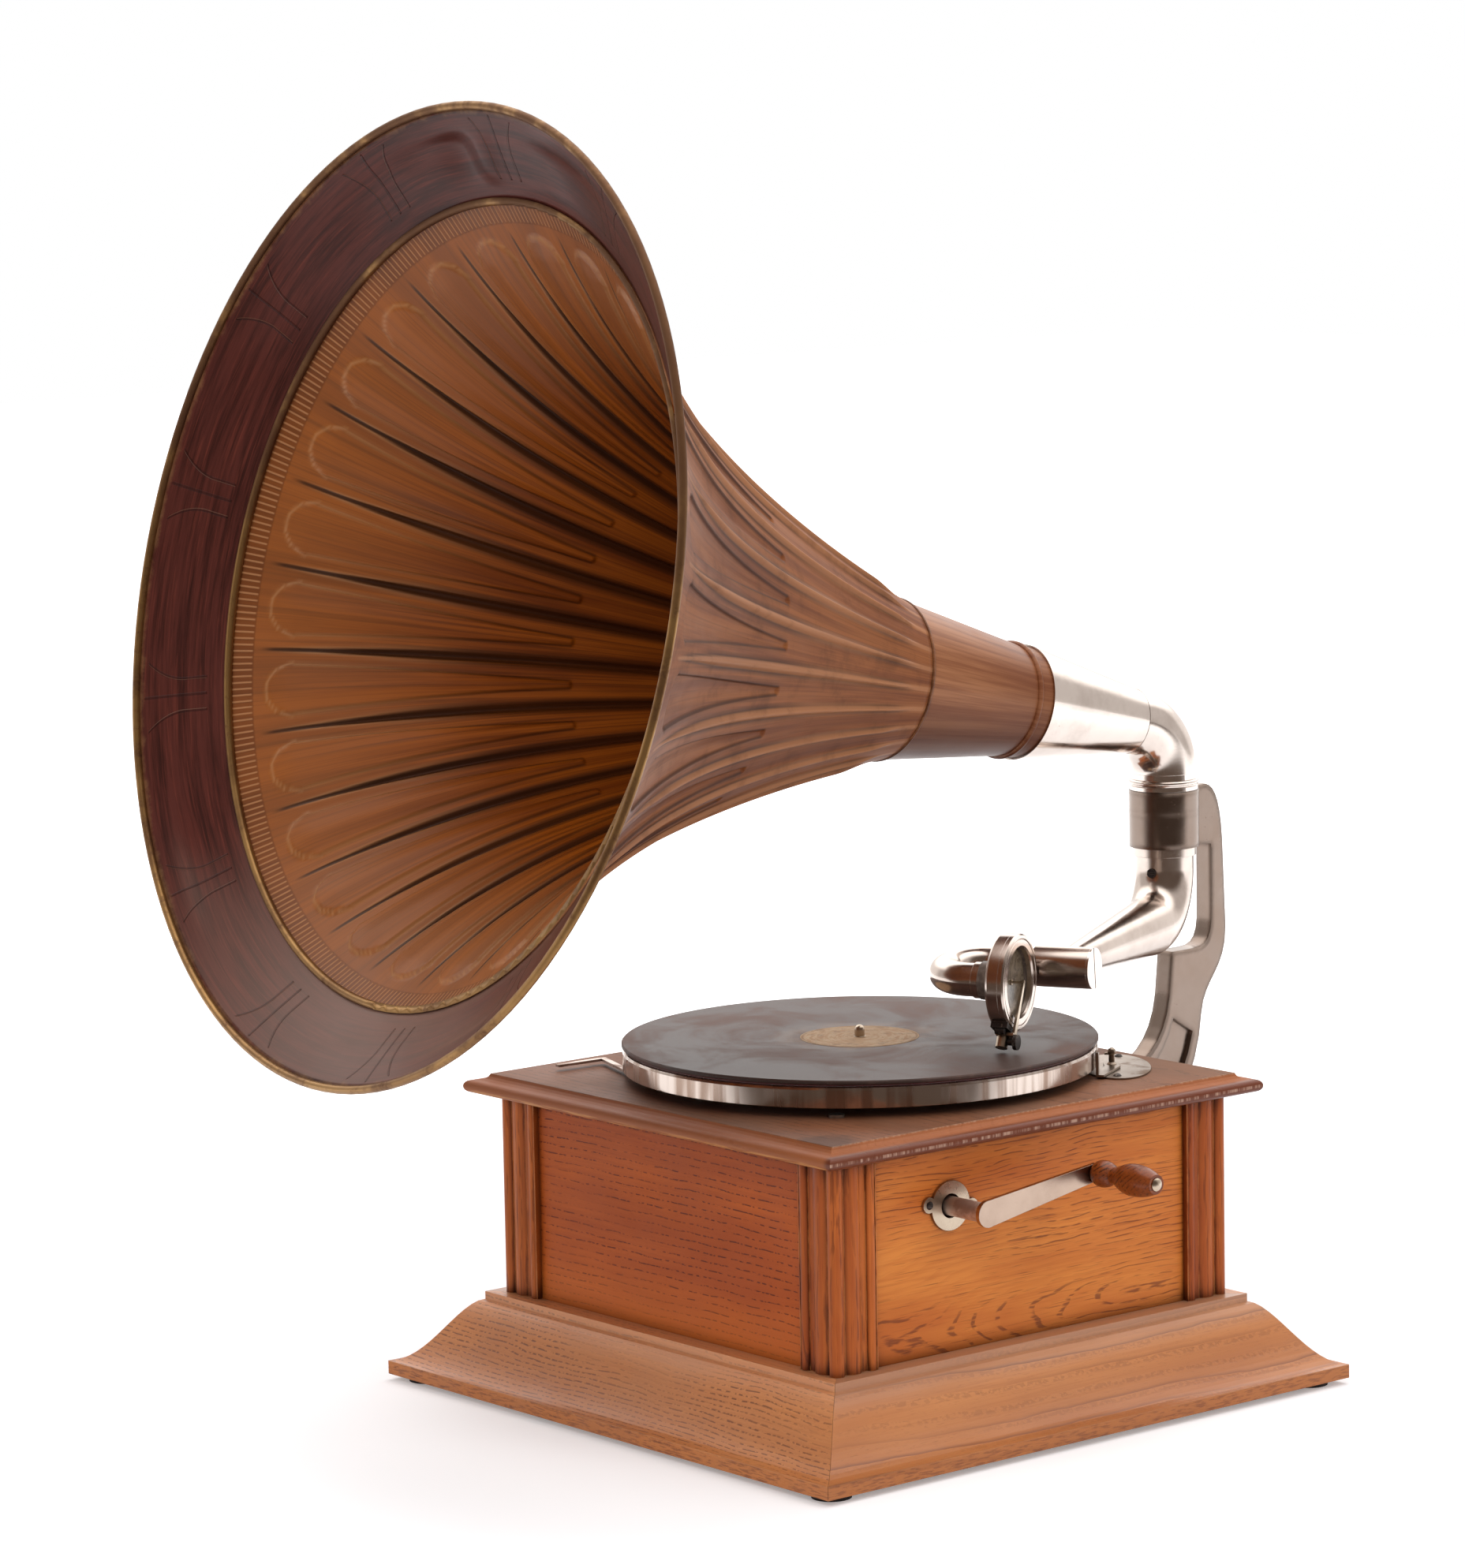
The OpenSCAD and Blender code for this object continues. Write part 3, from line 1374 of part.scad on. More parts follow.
module horn_flare() {
    color([0.24, 0.1, 0.09])
        in_horn_frame()
            rotate_extrude() polygon(sheet(inner_bead_at + 0.1, flare_len - rim_bead_r + 0.4, 10, 0));
}

// The rolled rim and the bead between the body and the flare
module horn_rim() {
    color([0.6, 0.5, 0.32])
        in_horn_frame() {
            rotate_extrude()
                difference() {
                    translate([rim_r - sheet_t, seam_at + flare_len]) circle(rim_bead_r, $fn = 32);
                    polygon(sheet(flare_len - 12, flare_len - rim_bead_r + 0.5, 6, 0.05));
                }
            rotate_extrude()
                translate([flare_r(inner_bead_at), seam_at + inner_bead_at + 1])
                    rotate([0, 0, atan2(1, flare_slope(inner_bead_at))])
                        intersection() {
                            translate([0, sheet_t + 0.45]) circle(inner_bead_r, $fn = 32);
                            translate([-5, sheet_t + 0.35]) square([10, 8]);
                        }
        }
}

feet();
plinth_moulding();
base_board();
corner_posts();
front_panel();
back_panel();
left_panel();
right_panel();
lid_board();
escutcheon();
escutcheon_screws();
brake_plate();
brake_screws();
brake_lever();
brake_knob();
speed_lever();
speed_pad();
platter();
felt_mat();
record();
record_label();
spindle();
spindle_gears();
motor_plates();
motor_pillars();
motor_bolts();
spring_barrel();
mainspring();
barrel_arbor();
crown_wheel();
idler_gears();
governor_shaft();
governor_disc();
governor_weights();
governor_springs();
winding_shaft();
shaft_bearings();
crank_tube();
crank_arm();
handle_pin();
crank_handle();
bracket();
bracket_screws();
tone_arm();
arm_cap();
arm_screw();
gooseneck();
soundbox_isolator();
soundbox_body();
soundbox_gaskets();
diaphragm();
front_ring();
stylus_bar();
bar_saddle();
thumbscrew();
horn_elbow();
horn_neck();
horn_body();
horn_flare();
horn_rim();
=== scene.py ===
"""Looks of a tabletop gramophone with a large painted horn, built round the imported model."""
import math

import bmesh
import bpy
from mathutils import Matrix, Vector


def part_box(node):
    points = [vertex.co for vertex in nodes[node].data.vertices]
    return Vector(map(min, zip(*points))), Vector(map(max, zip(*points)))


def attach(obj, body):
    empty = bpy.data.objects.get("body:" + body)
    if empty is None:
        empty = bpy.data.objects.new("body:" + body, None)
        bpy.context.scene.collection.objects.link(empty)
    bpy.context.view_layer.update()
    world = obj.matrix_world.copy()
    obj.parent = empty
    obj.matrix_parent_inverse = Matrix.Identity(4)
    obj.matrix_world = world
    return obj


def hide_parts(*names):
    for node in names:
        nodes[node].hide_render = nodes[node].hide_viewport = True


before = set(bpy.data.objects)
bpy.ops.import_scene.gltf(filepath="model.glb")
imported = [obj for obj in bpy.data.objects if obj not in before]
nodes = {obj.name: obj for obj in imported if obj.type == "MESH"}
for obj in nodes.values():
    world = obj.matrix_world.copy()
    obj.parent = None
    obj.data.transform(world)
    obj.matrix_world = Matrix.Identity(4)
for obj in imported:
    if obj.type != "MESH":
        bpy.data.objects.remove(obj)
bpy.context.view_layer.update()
MM = 0.001


# ---------------------------------------------------------------- camera

CAMERA_AT = Vector((2.5959, -2.2393, 0.8432))
CAMERA_TO = Vector((-0.04898, -0.05942, 0.38419))
CAMERA_ROLL = math.radians(-1.07)
LENS_MM = 126.93
SENSOR_MM = 36
CLIP = (0.1, 60)

camera_data = bpy.data.cameras.new("camera")
camera_data.lens = LENS_MM
camera_data.sensor_width = SENSOR_MM
camera_data.clip_start, camera_data.clip_end = CLIP
camera = bpy.data.objects.new("camera", camera_data)
back = (CAMERA_AT - CAMERA_TO).normalized()
right = Vector((0, 0, 1)).cross(back).normalized()
up = back.cross(right)
turned_right = right * math.cos(CAMERA_ROLL) + up * math.sin(CAMERA_ROLL)
turned_up = up * math.cos(CAMERA_ROLL) - right * math.sin(CAMERA_ROLL)
camera_place = Matrix((turned_right, turned_up, back)).transposed().to_4x4()
camera_place.translation = CAMERA_AT
camera.matrix_world = camera_place
scene = bpy.context.scene
scene.collection.objects.link(camera)
scene.camera = camera
scene.view_settings.view_transform = "Standard"


# ---------------------------------------------------------------- node helpers

def rgb(r, g, b):
    """A colour written as 0 to 255 display values, in linear light."""
    out = []
    for v in (r, g, b):
        v = v / 255
        out.append(v / 12.92 if v <= 0.04045 else ((v + 0.055) / 1.055) ** 2.4)
    return (*out, 1.0)


class Nodes:
    """A node tree under construction, with short names for the nodes that it uses."""

    def __init__(self, tree):
        self.tree = tree

    def node(self, kind, values=(), **settings):
        made = self.tree.nodes.new("ShaderNode" + kind)
        for key, value in settings.items():
            setattr(made, key, value)
        for socket, value in zip(made.inputs, values):
            self.put(socket, value)
        return made

    def put(self, socket, value):
        """Links an output to the socket, or sets a constant on it; None leaves it alone."""
        if isinstance(value, bpy.types.NodeSocket):
            self.tree.links.new(value, socket)
        elif value is not None:
            socket.default_value = value

    def named(self, kind, values, **settings):
        """A node whose inputs are set by name."""
        made = self.node(kind, **settings)
        for key, value in values.items():
            self.put(made.inputs[key], value)
        return made.outputs[0]

    def math(self, operation, a, b=None):
        return self.node("Math", (a, b), operation=operation).outputs[0]

    def add(self, a, b):
        return self.math("ADD", a, b)

    def sub(self, a, b):
        return self.math("SUBTRACT", a, b)

    def mul(self, a, b):
        return self.math("MULTIPLY", a, b)

    def larger(self, a, b):
        return self.math("MAXIMUM", a, b)

    def size(self, a, b):
        """The length of a vector whose parts are a and b."""
        return self.math("SQRT", self.add(self.mul(a, a), self.mul(b, b)))

    def dot(self, a, b):
        return self.node("VectorMath", (a, b), operation="DOT_PRODUCT").outputs["Value"]

    def scaled(self, vector, factors):
        return self.node("VectorMath", (vector, factors), operation="MULTIPLY").outputs[0]

    def where(self):
        return self.node("TexCoord").outputs["Object"]

    def xyz(self):
        where = self.where()
        x, y, z = self.node("SeparateXYZ", (where,)).outputs
        return where, x, y, z

    def vector(self, x, y, z):
        return self.node("CombineXYZ", (x, y, z)).outputs[0]

    def step(self, value, low, high, least=0.0, most=1.0):
        """least below low, most above high, smooth between; high below low turns it round."""
        return self.named("MapRange", {"Value": value, "From Min": low, "From Max": high, "To Min": least,
                                       "To Max": most}, interpolation_type="SMOOTHSTEP")

    def span(self, value, low, low_full, high_full, high):
        """1 between low_full and high_full, and 0 below low and above high."""
        return self.mul(self.step(value, low, low_full), self.step(value, high, high_full))

    def between(self, factor, a, b):
        """A number that goes from a to b with factor."""
        return self.named("MapRange", {"Value": factor, "To Min": a, "To Max": b})


class Finish(Nodes):
    """A material under construction. The constants are those of its shader."""

    def __init__(self, name, **constants):
        self.material = bpy.data.materials.new(name)
        self.material.use_nodes = True
        super().__init__(self.material.node_tree)
        self.shader = self.tree.nodes["Principled BSDF"]
        for key, value in constants.items():
            self.shader.inputs[key.replace("_", " ")].default_value = value

    def noise(self, vector, scale=1.0, detail=3.0, rough=0.5, twist=0.0):
        return self.named("TexNoise", {"Vector": vector, "Scale": scale, "Detail": detail, "Roughness": rough,
                                       "Distortion": twist})

    def grain(self, t, u, v, rates, detail=3.0, rough=0.5):
        """Noise whose spots are drawn out: rates are its frequencies along t, and across it."""
        along, over = rates
        drawn = self.vector(self.mul(t, along), self.mul(u, over), self.mul(v, over))
        return self.noise(drawn, 1.0, detail, rough)

    def mix(self, factor, a, b):
        """Colours mixed. The node has sockets of the same names for numbers and vectors too."""
        made = self.node("Mix", data_type="RGBA")
        for index, value in ((0, factor), (6, a), (7, b)):
            self.put(made.inputs[index], value)
        return made.outputs[2]

    def bump(self, height, distance, strength=1.0, under=None):
        return self.named("Bump", {"Height": height, "Distance": distance, "Strength": strength, "Normal": under})

    def soft_edges(self, radius):
        """Normals that round the solid's sharp edges a little."""
        return self.node("Bevel", (radius,), samples=4).outputs[0]

    def edge_mask(self, radius):
        """1 along sharp edges, 0 on the faces."""
        return self.step(self.dot(self.soft_edges(radius), self.node("NewGeometry").outputs["Normal"]), 0.995, 0.9)

    def facing(self, low, high):
        """From 0 to 1 as the face's upward lean goes from low to high; 1 is level, -1 hangs down."""
        normal = self.node("NewGeometry").outputs["Normal"]
        return self.step(self.node("SeparateXYZ", (normal,)).outputs[2], low, high)

    def hollow(self, reach, low, high):
        """From 0 to 1 as a corner closes in, within reach, from open share low to high."""
        return self.step(self.node("AmbientOcclusion", (None, reach), samples=6).outputs["AO"], low, high)

    def done(self, color, roughness, normal):
        for key, value in (("Base Color", color), ("Roughness", roughness), ("Normal", normal)):
            self.put(self.shader.inputs[key], value)
        return self.material


# ---------------------------------------------------------------- wood

LID_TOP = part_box("lid_board")[1][2]
LID_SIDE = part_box("lid_board")[1][0]
STAIN_AT = (LID_SIDE - 26 * MM, -LID_SIDE + 22 * MM, LID_TOP)
PLINTH_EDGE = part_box("plinth_moulding")[0][2] + 8 * MM
RING_WAVE = 0.016  # how far, in metres, the growth rings stray slowly
RING_RIPPLE = 0.0026  # and in short waves
SIDE_RINGS = 3.6  # how much wider the rings are on a frame's left and right
OTHER_BOARD = 1.7  # shifts the grain, so that a frame's boards differ


def grain_axes(f, along, x, y, z):
    """The way along the grain, the two ways across it, and 1 where a frame's wood runs along y."""
    if along != "frame":
        return {"x": (x, z, y), "y": (y, z, x), "z": (z, x, y), "top": (x, y, z)}[along] + (0.0,)
    from_y, from_x = f.math("ABSOLUTE", x), f.math("ABSOLUTE", y)
    side = f.math("GREATER_THAN", from_y, from_x)
    t = f.add(f.mul(side, y), f.mul(f.sub(1.0, side), f.add(x, OTHER_BOARD)))
    return t, f.larger(from_y, from_x), z, side


def oak(name, along, pale, deep, pore, pith, tilt, ring=5.0, wobble=1.0, thin=0.16, dash=200.0,
        amount=0.8, strays=0.3, dirt_and_shade=0.5, edge=None, gloss=0.42, shine=0.25, coat=0.0, last=None):
    """Oak whose open pores lie as dashes along the growth rings about a pith line.

    along is the grain's axis, or "top" for a board seen from above, or "frame" where the grain
    follows the nearer side of a square. pith is the pith line's place across the board, in metres,
    and tilt its slope; ring is the rings' spacing in millimetres and wobble their waviness, thin
    the share of a ring that has pores, and dash the number of dashes in a metre. amount, strays
    and dirt_and_shade are the strengths of the pores, of single pores between the rings and of the
    painted shade and dirt in corners; edge is the colour of worn edges, and gloss the roughness.
    last is a function that changes the colour and the roughness at the end."""
    f = Finish(name, Coat_Weight=coat, Coat_Roughness=0.22, Specular_IOR_Level=shine)
    where, x, y, z = f.xyz()
    t, u, v, side = grain_axes(f, along, x, y, z)
    drift = f.sub(f.grain(t, u, v, (5.0, 13.0)), 0.5)
    fine = f.sub(f.grain(t, u, v, (34.0, 70.0), 2.0), 0.5)
    radius = f.size(f.sub(u, pith[0]), f.add(f.sub(v, pith[1]), f.mul(t, tilt)))
    radius = f.add(radius, f.add(f.mul(drift, wobble * RING_WAVE), f.mul(fine, RING_RIPPLE)))
    pitch = 1000 / ring
    if along == "frame":
        pitch = f.between(side, pitch, 1000 / (ring * SIDE_RINGS))
    phase = f.math("FRACT", f.mul(radius, pitch))
    line = f.span(phase, 0.0, 0.35 * thin, thin, 1.5 * thin)
    late = f.step(phase, 0.35, 1.0)
    cloud = f.grain(t, u, v, (3.0, 14.0), 4.0, 0.6)
    gaps = f.grain(t, u, v, (dash, 420.0), 2.0)
    crowd = f.grain(t, u, v, (6.0, 26.0), 2.0)
    pores = f.mul(line, f.mul(f.step(gaps, 0.42, 0.56), f.step(crowd, 0.30, 0.56)))
    stray = f.grain(t, u, v, (dash * 0.7, 1500.0), 1.0, 0.4)
    stray = f.mul(f.step(stray, 0.62, 0.72), f.add(f.mul(late, -0.6), 1.0))
    fibres = f.grain(t, u, v, (14.0, 620.0), 3.0, 0.6)
    color = f.mix(f.step(cloud, 0.32, 0.7), pale, deep)
    color = f.mix(f.mul(late, 0.22), color, deep)
    color = f.mix(f.mul(f.step(fibres, 0.42, 0.72), 0.42), color, deep)
    color = f.mix(f.mul(stray, strays), color, pore)
    if along == "frame":
        some = f.noise(f.vector(f.mul(t, 1.4), f.mul(radius, 46.0), 0.0), 1.0, 2.0)
        streak = f.mul(f.mul(side, f.step(phase, 0.6, 1.0)), f.step(phase, 0.7, 1.0))
        color = f.mix(f.mul(streak, f.step(some, 0.42, 0.62)), color, pore)
        amount = f.between(side, amount, amount * 0.35)
    color = f.mix(f.mul(pores, amount), color, pore)
    # Painted shade and dirt in corners: darker where the corners close in
    grime_and_shade = (*(0.25 * c for c in pore[:3]), 1.0)
    color = f.mix(f.mul(f.hollow(15.0 * MM, 0.82, 0.36), dirt_and_shade), color, grime_and_shade)
    rough = f.between(f.noise(where, 26.0, 4.0, 0.65), gloss - 0.07, gloss + 0.12)
    if edge:
        worn = f.mul(f.edge_mask(1.1 * MM), f.step(f.noise(where, 70.0, 3.0), 0.36, 0.56))
        color = f.mix(f.mul(worn, 0.6), color, edge)
    if last:
        color, rough = last(f, where, z, side, color, rough)
    height = f.sub(f.mul(fibres, 0.25), f.larger(pores, f.mul(stray, 0.5)))
    return f.done(color, rough, f.bump(height, 0.12 * MM, 0.5, f.soft_edges(0.7 * MM)))


def front_last(f, where, z, side, color, rough):
    """Painted shade on the upper part, darker and purplish, and a brighter foot."""
    low = f.step(z, 0.10, 0.055)
    # Painted shade: a darker, purplish colour on the upper part
    high = f.step(f.add(z, f.mul(f.noise(where, 18.0, 3.0), 0.05)), 0.15, 0.21)
    color = f.mix(f.mul(low, 0.35), color, rgb(232, 132, 56))
    return f.mix(f.mul(high, 0.3), color, rgb(112, 56, 44)), rough


def plinth_last(f, where, z, side, color, rough):
    """A brighter, flecked lower edge, a dull left and front, a smoother right side, and a painted sheen along the
    upper part, stronger on the right.
    """
    low = f.step(z, PLINTH_EDGE + 0.3 * MM, PLINTH_EDGE - 0.3 * MM)
    fleck = f.step(f.noise(f.scaled(where, (110.0, 110.0, 900.0)), 1.0, 4.0, 0.6), 0.48, 0.62)
    color = f.mix(f.mul(low, 0.7), color, f.mix(fleck, rgb(206, 124, 56), rgb(124, 62, 28)))
    grey = f.mul(f.step(f.noise(where, 16.0, 5.0, 0.6), 0.40, 0.7), f.between(side, 0.2, 0.1))
    color = f.mix(grey, color, rgb(158, 112, 88))
    # Painted sheen: a paler colour along the upper part, stronger on the right side
    pale = f.mul(f.step(z, PLINTH_EDGE + 26 * MM, PLINTH_EDGE + 44 * MM), f.between(side, 0.35, 0.6))
    color = f.mix(pale, color, f.mix(side, rgb(228, 168, 128), rgb(190, 148, 122)))
    color = f.mix(f.mul(side, 0.25), color, rgb(150, 96, 60))
    foot = f.mul(f.step(z, PLINTH_EDGE + 30 * MM, PLINTH_EDGE + 8 * MM), 0.25)
    color = f.mix(foot, color, rgb(146, 88, 54))
    return color, f.sub(f.add(rough, f.mul(low, 0.15)), f.mul(side, 0.08))


def lid_last(f, where, z, side, color, rough):
    """Dust and a stain on the top face, a dark red right edge with painted highlights along its
    arrises and nose, and light torn fibres along the nose's lower edge."""
    x, y = f.node("SeparateXYZ", (where,)).outputs[:2]
    below = f.step(z, LID_TOP - 0.2 * MM, LID_TOP - 0.5 * MM)
    to_right = f.mul(below, f.step(x, LID_SIDE - 8 * MM, LID_SIDE - 2 * MM))
    film = f.mul(f.step(f.noise(where, 7.0, 5.0, 0.6), 0.34, 0.66), f.sub(1.0, below))
    color = f.mix(f.mul(film, 0.55), color, rgb(136, 106, 88))
    stain = f.node("VectorMath", (where, STAIN_AT), operation="DISTANCE").outputs["Value"]
    stain = f.step(f.add(stain, f.mul(f.noise(where, 60.0, 5.0, 0.7), 0.034)), 0.040, 0.028)
    color = f.mix(f.mul(stain, 0.6), color, rgb(70, 42, 28))
    color = f.mix(f.mul(below, 0.6), color, rgb(176, 102, 58))
    color = f.mix(f.mul(to_right, 0.85), color, rgb(92, 40, 24))
    arris = f.mul(f.step(z, LID_TOP - 1.1 * MM, LID_TOP - 0.3 * MM),
                  f.step(x, LID_SIDE - 14 * MM, LID_SIDE - 13 * MM))
    nose = f.step(x, LID_SIDE - 0.22 * MM, LID_SIDE - 0.05 * MM)
    # Painted highlight: broken light lines along the upper arris and the nose
    painted_highlight = f.noise(f.vector(f.mul(x, 300.0), f.mul(y, 330.0), z), 1.0, 4.0, 0.75)
    painted_highlight = f.mul(f.step(painted_highlight, 0.42, 0.66), f.larger(f.mul(arris, 0.6), nose))
    color = f.mix(f.mul(painted_highlight, 0.6), color, rgb(208, 172, 150))
    under = f.mul(f.step(z, LID_TOP - 8.5 * MM, LID_TOP - 10.5 * MM), f.sub(below, to_right))
    torn = f.noise(f.vector(f.mul(x, 40.0), y, f.mul(z, 700.0)), 1.0, 4.0)
    color = f.mix(f.mul(f.mul(under, f.step(torn, 0.4, 0.6)), 0.75), color, rgb(208, 150, 92))
    return color, f.add(rough, f.sub(f.mul(film, 0.12), f.mul(to_right, 0.2)))


# ---------------------------------------------------------------- metals and other materials

TARNISH = rgb(112, 82, 58)
HOLLOW_DIRT = rgb(64, 48, 38)
OIL = rgb(92, 74, 52)
GROOVE_PITCH = 0.55 * MM
PLAYED_IN = 50 * MM  # radii between which the record has grooves
PLAYED_OUT = 145.5 * MM
PLAYED_SOFT = 1.5 * MM
LABEL_LINE = (0.0352, 0.0356, 0.0366, 0.0370)  # radii in metres, from its inner edge to its outer


def plated(name, base, stain=TARNISH, rough=0.16, stain_from=0.62, edges=0.4, lumps=0.0):
    """Old plating: fine scratches, dull clouds and brown specks where it has gone.

    stain_from is the cloud level at which it is bare; edges rounds the solid's edges and lumps
    raises the face, in millimetres."""
    f = Finish(name, Metallic=1.0)
    where = f.where()
    cloud = f.noise(where, 34.0, 5.0, 0.68)
    patch = f.step(cloud, stain_from, stain_from + 0.12)
    speck = f.step(f.noise(where, 900.0, 2.0), 0.70, 0.78)
    speck = f.mul(speck, f.step(f.noise(where, 22.0), 0.42, 0.64))
    bare = f.larger(f.mul(patch, 0.55), f.mul(speck, 0.8))
    color = f.mix(f.mul(f.step(cloud, 0.35, 0.7), 0.18), base, stain)
    color = f.mix(bare, color, stain)
    color = f.mix(f.mul(f.hollow(8.0 * MM, 0.7, 0.25), 0.6), color, HOLLOW_DIRT)
    level = f.between(f.noise(where, 70.0, 4.0, 0.7), rough * 0.75, rough * 1.7)
    scratches = f.noise(f.scaled(where, (90.0, 90.0, 1500.0)), 1.0, 2.0, 0.6)
    height = f.add(f.mul(scratches, 0.5), f.mul(bare, -0.8))
    normal = f.bump(height, 0.03 * MM, 0.35, f.soft_edges(edges * MM))
    if lumps:
        normal = f.bump(f.noise(where, 45.0, 2.0), lumps * MM, 0.6, normal)
    return f.done(color, f.add(level, f.mul(bare, 0.32)), normal)


def blackened(name, base, worn, rough=0.45):
    """Dark steel, bright along its edges."""
    f = Finish(name, Metallic=0.85)
    where = f.where()
    rub = f.larger(f.mul(f.edge_mask(0.35 * MM), 0.7), f.step(f.noise(where, 240.0, 4.0, 0.7), 0.6, 0.75))
    level = f.between(f.noise(where, 150.0, 4.0), rough - 0.12, rough + 0.15)
    return f.done(f.mix(rub, base, worn), level, f.bump(f.noise(where, 700.0), 0.05 * MM, 0.4))


def turned_steel(name, base, rough=0.3):
    """Machined metal with light tool marks and oil."""
    f = Finish(name, Metallic=1.0)
    where = f.where()
    marks = f.noise(f.scaled(where, (60.0, 60.0, 2600.0)), 1.0, 2.0)
    oil = f.noise(where, 40.0, 4.0, 0.6)
    color = f.mix(f.mul(f.step(oil, 0.45, 0.8), 0.5), base, OIL)
    return f.done(color, f.between(oil, rough - 0.08, rough + 0.16), f.bump(marks, 0.02 * MM, 0.4))


def plain(name, base, other, rough, scale, bump=0.1):
    """A dull material with a grain of its own, such as rubber or leather."""
    f = Finish(name)
    grain = f.noise(f.where(), scale, 4.0, 0.6)
    color = f.mix(f.step(grain, 0.38, 0.66), base, other)
    return f.done(color, f.between(grain, rough - 0.08, rough + 0.08), f.bump(grain, bump * MM, 0.5))


def mica_finish():
    f = Finish("mica", Specular_IOR_Level=0.7)
    flakes = f.noise(f.where(), 160.0, 4.0, 0.7, 1.2)
    color = f.mix(f.step(flakes, 0.35, 0.66), rgb(122, 108, 90), rgb(84, 72, 60))
    return f.done(color, f.between(flakes, 0.14, 0.34), f.bump(flakes, 0.05 * MM, 0.3))


def shellac_finish():
    """A played record: fine grooves, bands between pieces of music, dust and dull swirls."""
    f = Finish("shellac", Specular_IOR_Level=0.24)
    where, x, y, _ = f.xyz()
    r = f.size(x, y)
    groove = f.math("SINE", f.mul(r, 2 * math.pi / GROOVE_PITCH))
    played = f.span(r, PLAYED_IN, PLAYED_IN + PLAYED_SOFT, PLAYED_OUT - PLAYED_SOFT, PLAYED_OUT)
    band = f.noise(f.vector(f.mul(r, 330.0), 0.0, 0.0), 1.0, 3.0, 0.7)
    dust = f.step(f.noise(where, 16.0, 6.0, 0.62, 0.7), 0.42, 0.68)
    grit = f.step(f.noise(where, 1300.0, 2.0), 0.66, 0.76)
    color = f.mix(f.step(band, 0.35, 0.7), rgb(55, 40, 36), rgb(70, 52, 46))
    color = f.mix(f.mul(dust, 0.5), color, rgb(122, 92, 82))
    color = f.mix(f.mul(grit, 0.2), color, rgb(170, 160, 150))
    near = f.mul(f.step(r, 0.062, 0.040), f.step(f.noise(where, 40.0, 4.0, 0.6), 0.36, 0.62))
    color = f.mix(f.mul(near, 0.4), color, rgb(128, 98, 72))
    rough = f.add(f.between(band, 0.38, 0.5), f.mul(dust, 0.2))
    return f.done(color, rough, f.bump(f.mul(groove, played), 0.03 * MM, 0.5, f.soft_edges(0.8 * MM)))


def label_finish():
    """A blank paper label, worn through in rings, with a darker line near its edge."""
    f = Finish("label_paper")
    where, x, y, _ = f.xyz()
    r = f.size(x, y)
    wear = f.noise(f.vector(f.mul(x, 90.0), f.mul(y, 90.0), f.mul(r, 420.0)), 1.0, 5.0, 0.7)
    color = f.mix(f.mul(f.step(wear, 0.44, 0.6), 0.6), rgb(196, 168, 136), rgb(168, 120, 80))
    scuff = f.step(f.noise(where, 120.0, 5.0, 0.75), 0.52, 0.66)
    color = f.mix(f.mul(scuff, 0.5), color, rgb(128, 104, 86))
    color = f.mix(f.mul(f.span(r, *LABEL_LINE), 0.45), color, rgb(120, 84, 50))
    return f.done(color, f.between(wear, 0.62, 0.85), f.bump(wear, 0.06 * MM, 0.6))


def gold_finish():
    """Gold bronze paint on the beads, brown where it has rubbed off and on their upper part."""
    f = Finish("gold", Metallic=0.75)
    where, _, _, z = f.xyz()
    rub = f.noise(where, 130.0, 6.0, 0.72)
    streak = f.noise(where, 24.0, 4.0, 0.6)
    bare = f.step(f.add(rub, f.mul(streak, 0.35)), 0.66, 0.92)
    bare = f.larger(bare, f.mul(f.step(z, 0.50, 0.62), f.step(streak, 0.3, 0.5)))
    color = f.mix(f.step(streak, 0.35, 0.7), rgb(158, 120, 72), rgb(122, 88, 54))
    color = f.mix(f.mul(bare, 0.75), color, rgb(96, 62, 44))
    return f.done(color, f.add(f.between(streak, 0.3, 0.42), f.mul(bare, 0.25)), f.bump(rub, 0.12 * MM, 0.6))


def rim_finish():
    """The platter's plating, with painted reflections as soft upright bands round its rim, and painted shade at
    its foot.
    """
    f = Finish("nickel_rim", Metallic=1.0)
    _, x, y, z = f.xyz()
    r = f.size(x, y)
    round_rim = f.vector(f.mul(f.math("DIVIDE", x, r), 17.0), f.mul(f.math("DIVIDE", y, r), 17.0), f.mul(z, 6.0))
    # Painted reflections: light and dark upright bands round the rim
    bands = f.step(f.noise(round_rim, 1.0, 2.0), 0.42, 0.64)
    color = f.mix(bands, rgb(200, 187, 178), rgb(160, 138, 124))
    # Painted shade at the rim's foot, next to the lid
    color = f.mix(f.mul(f.step(z, LID_TOP + 6 * MM, LID_TOP + 1 * MM), 0.2), color, rgb(96, 66, 48))
    wave = f.noise(f.vector(f.mul(x, 40.0), f.mul(y, 40.0), f.mul(z, 60.0)), 1.0, 1.0)
    return f.done(color, f.between(bands, 0.12, 0.3), f.bump(wave, 0.05 * MM, 0.4, f.soft_edges(0.5 * MM)))


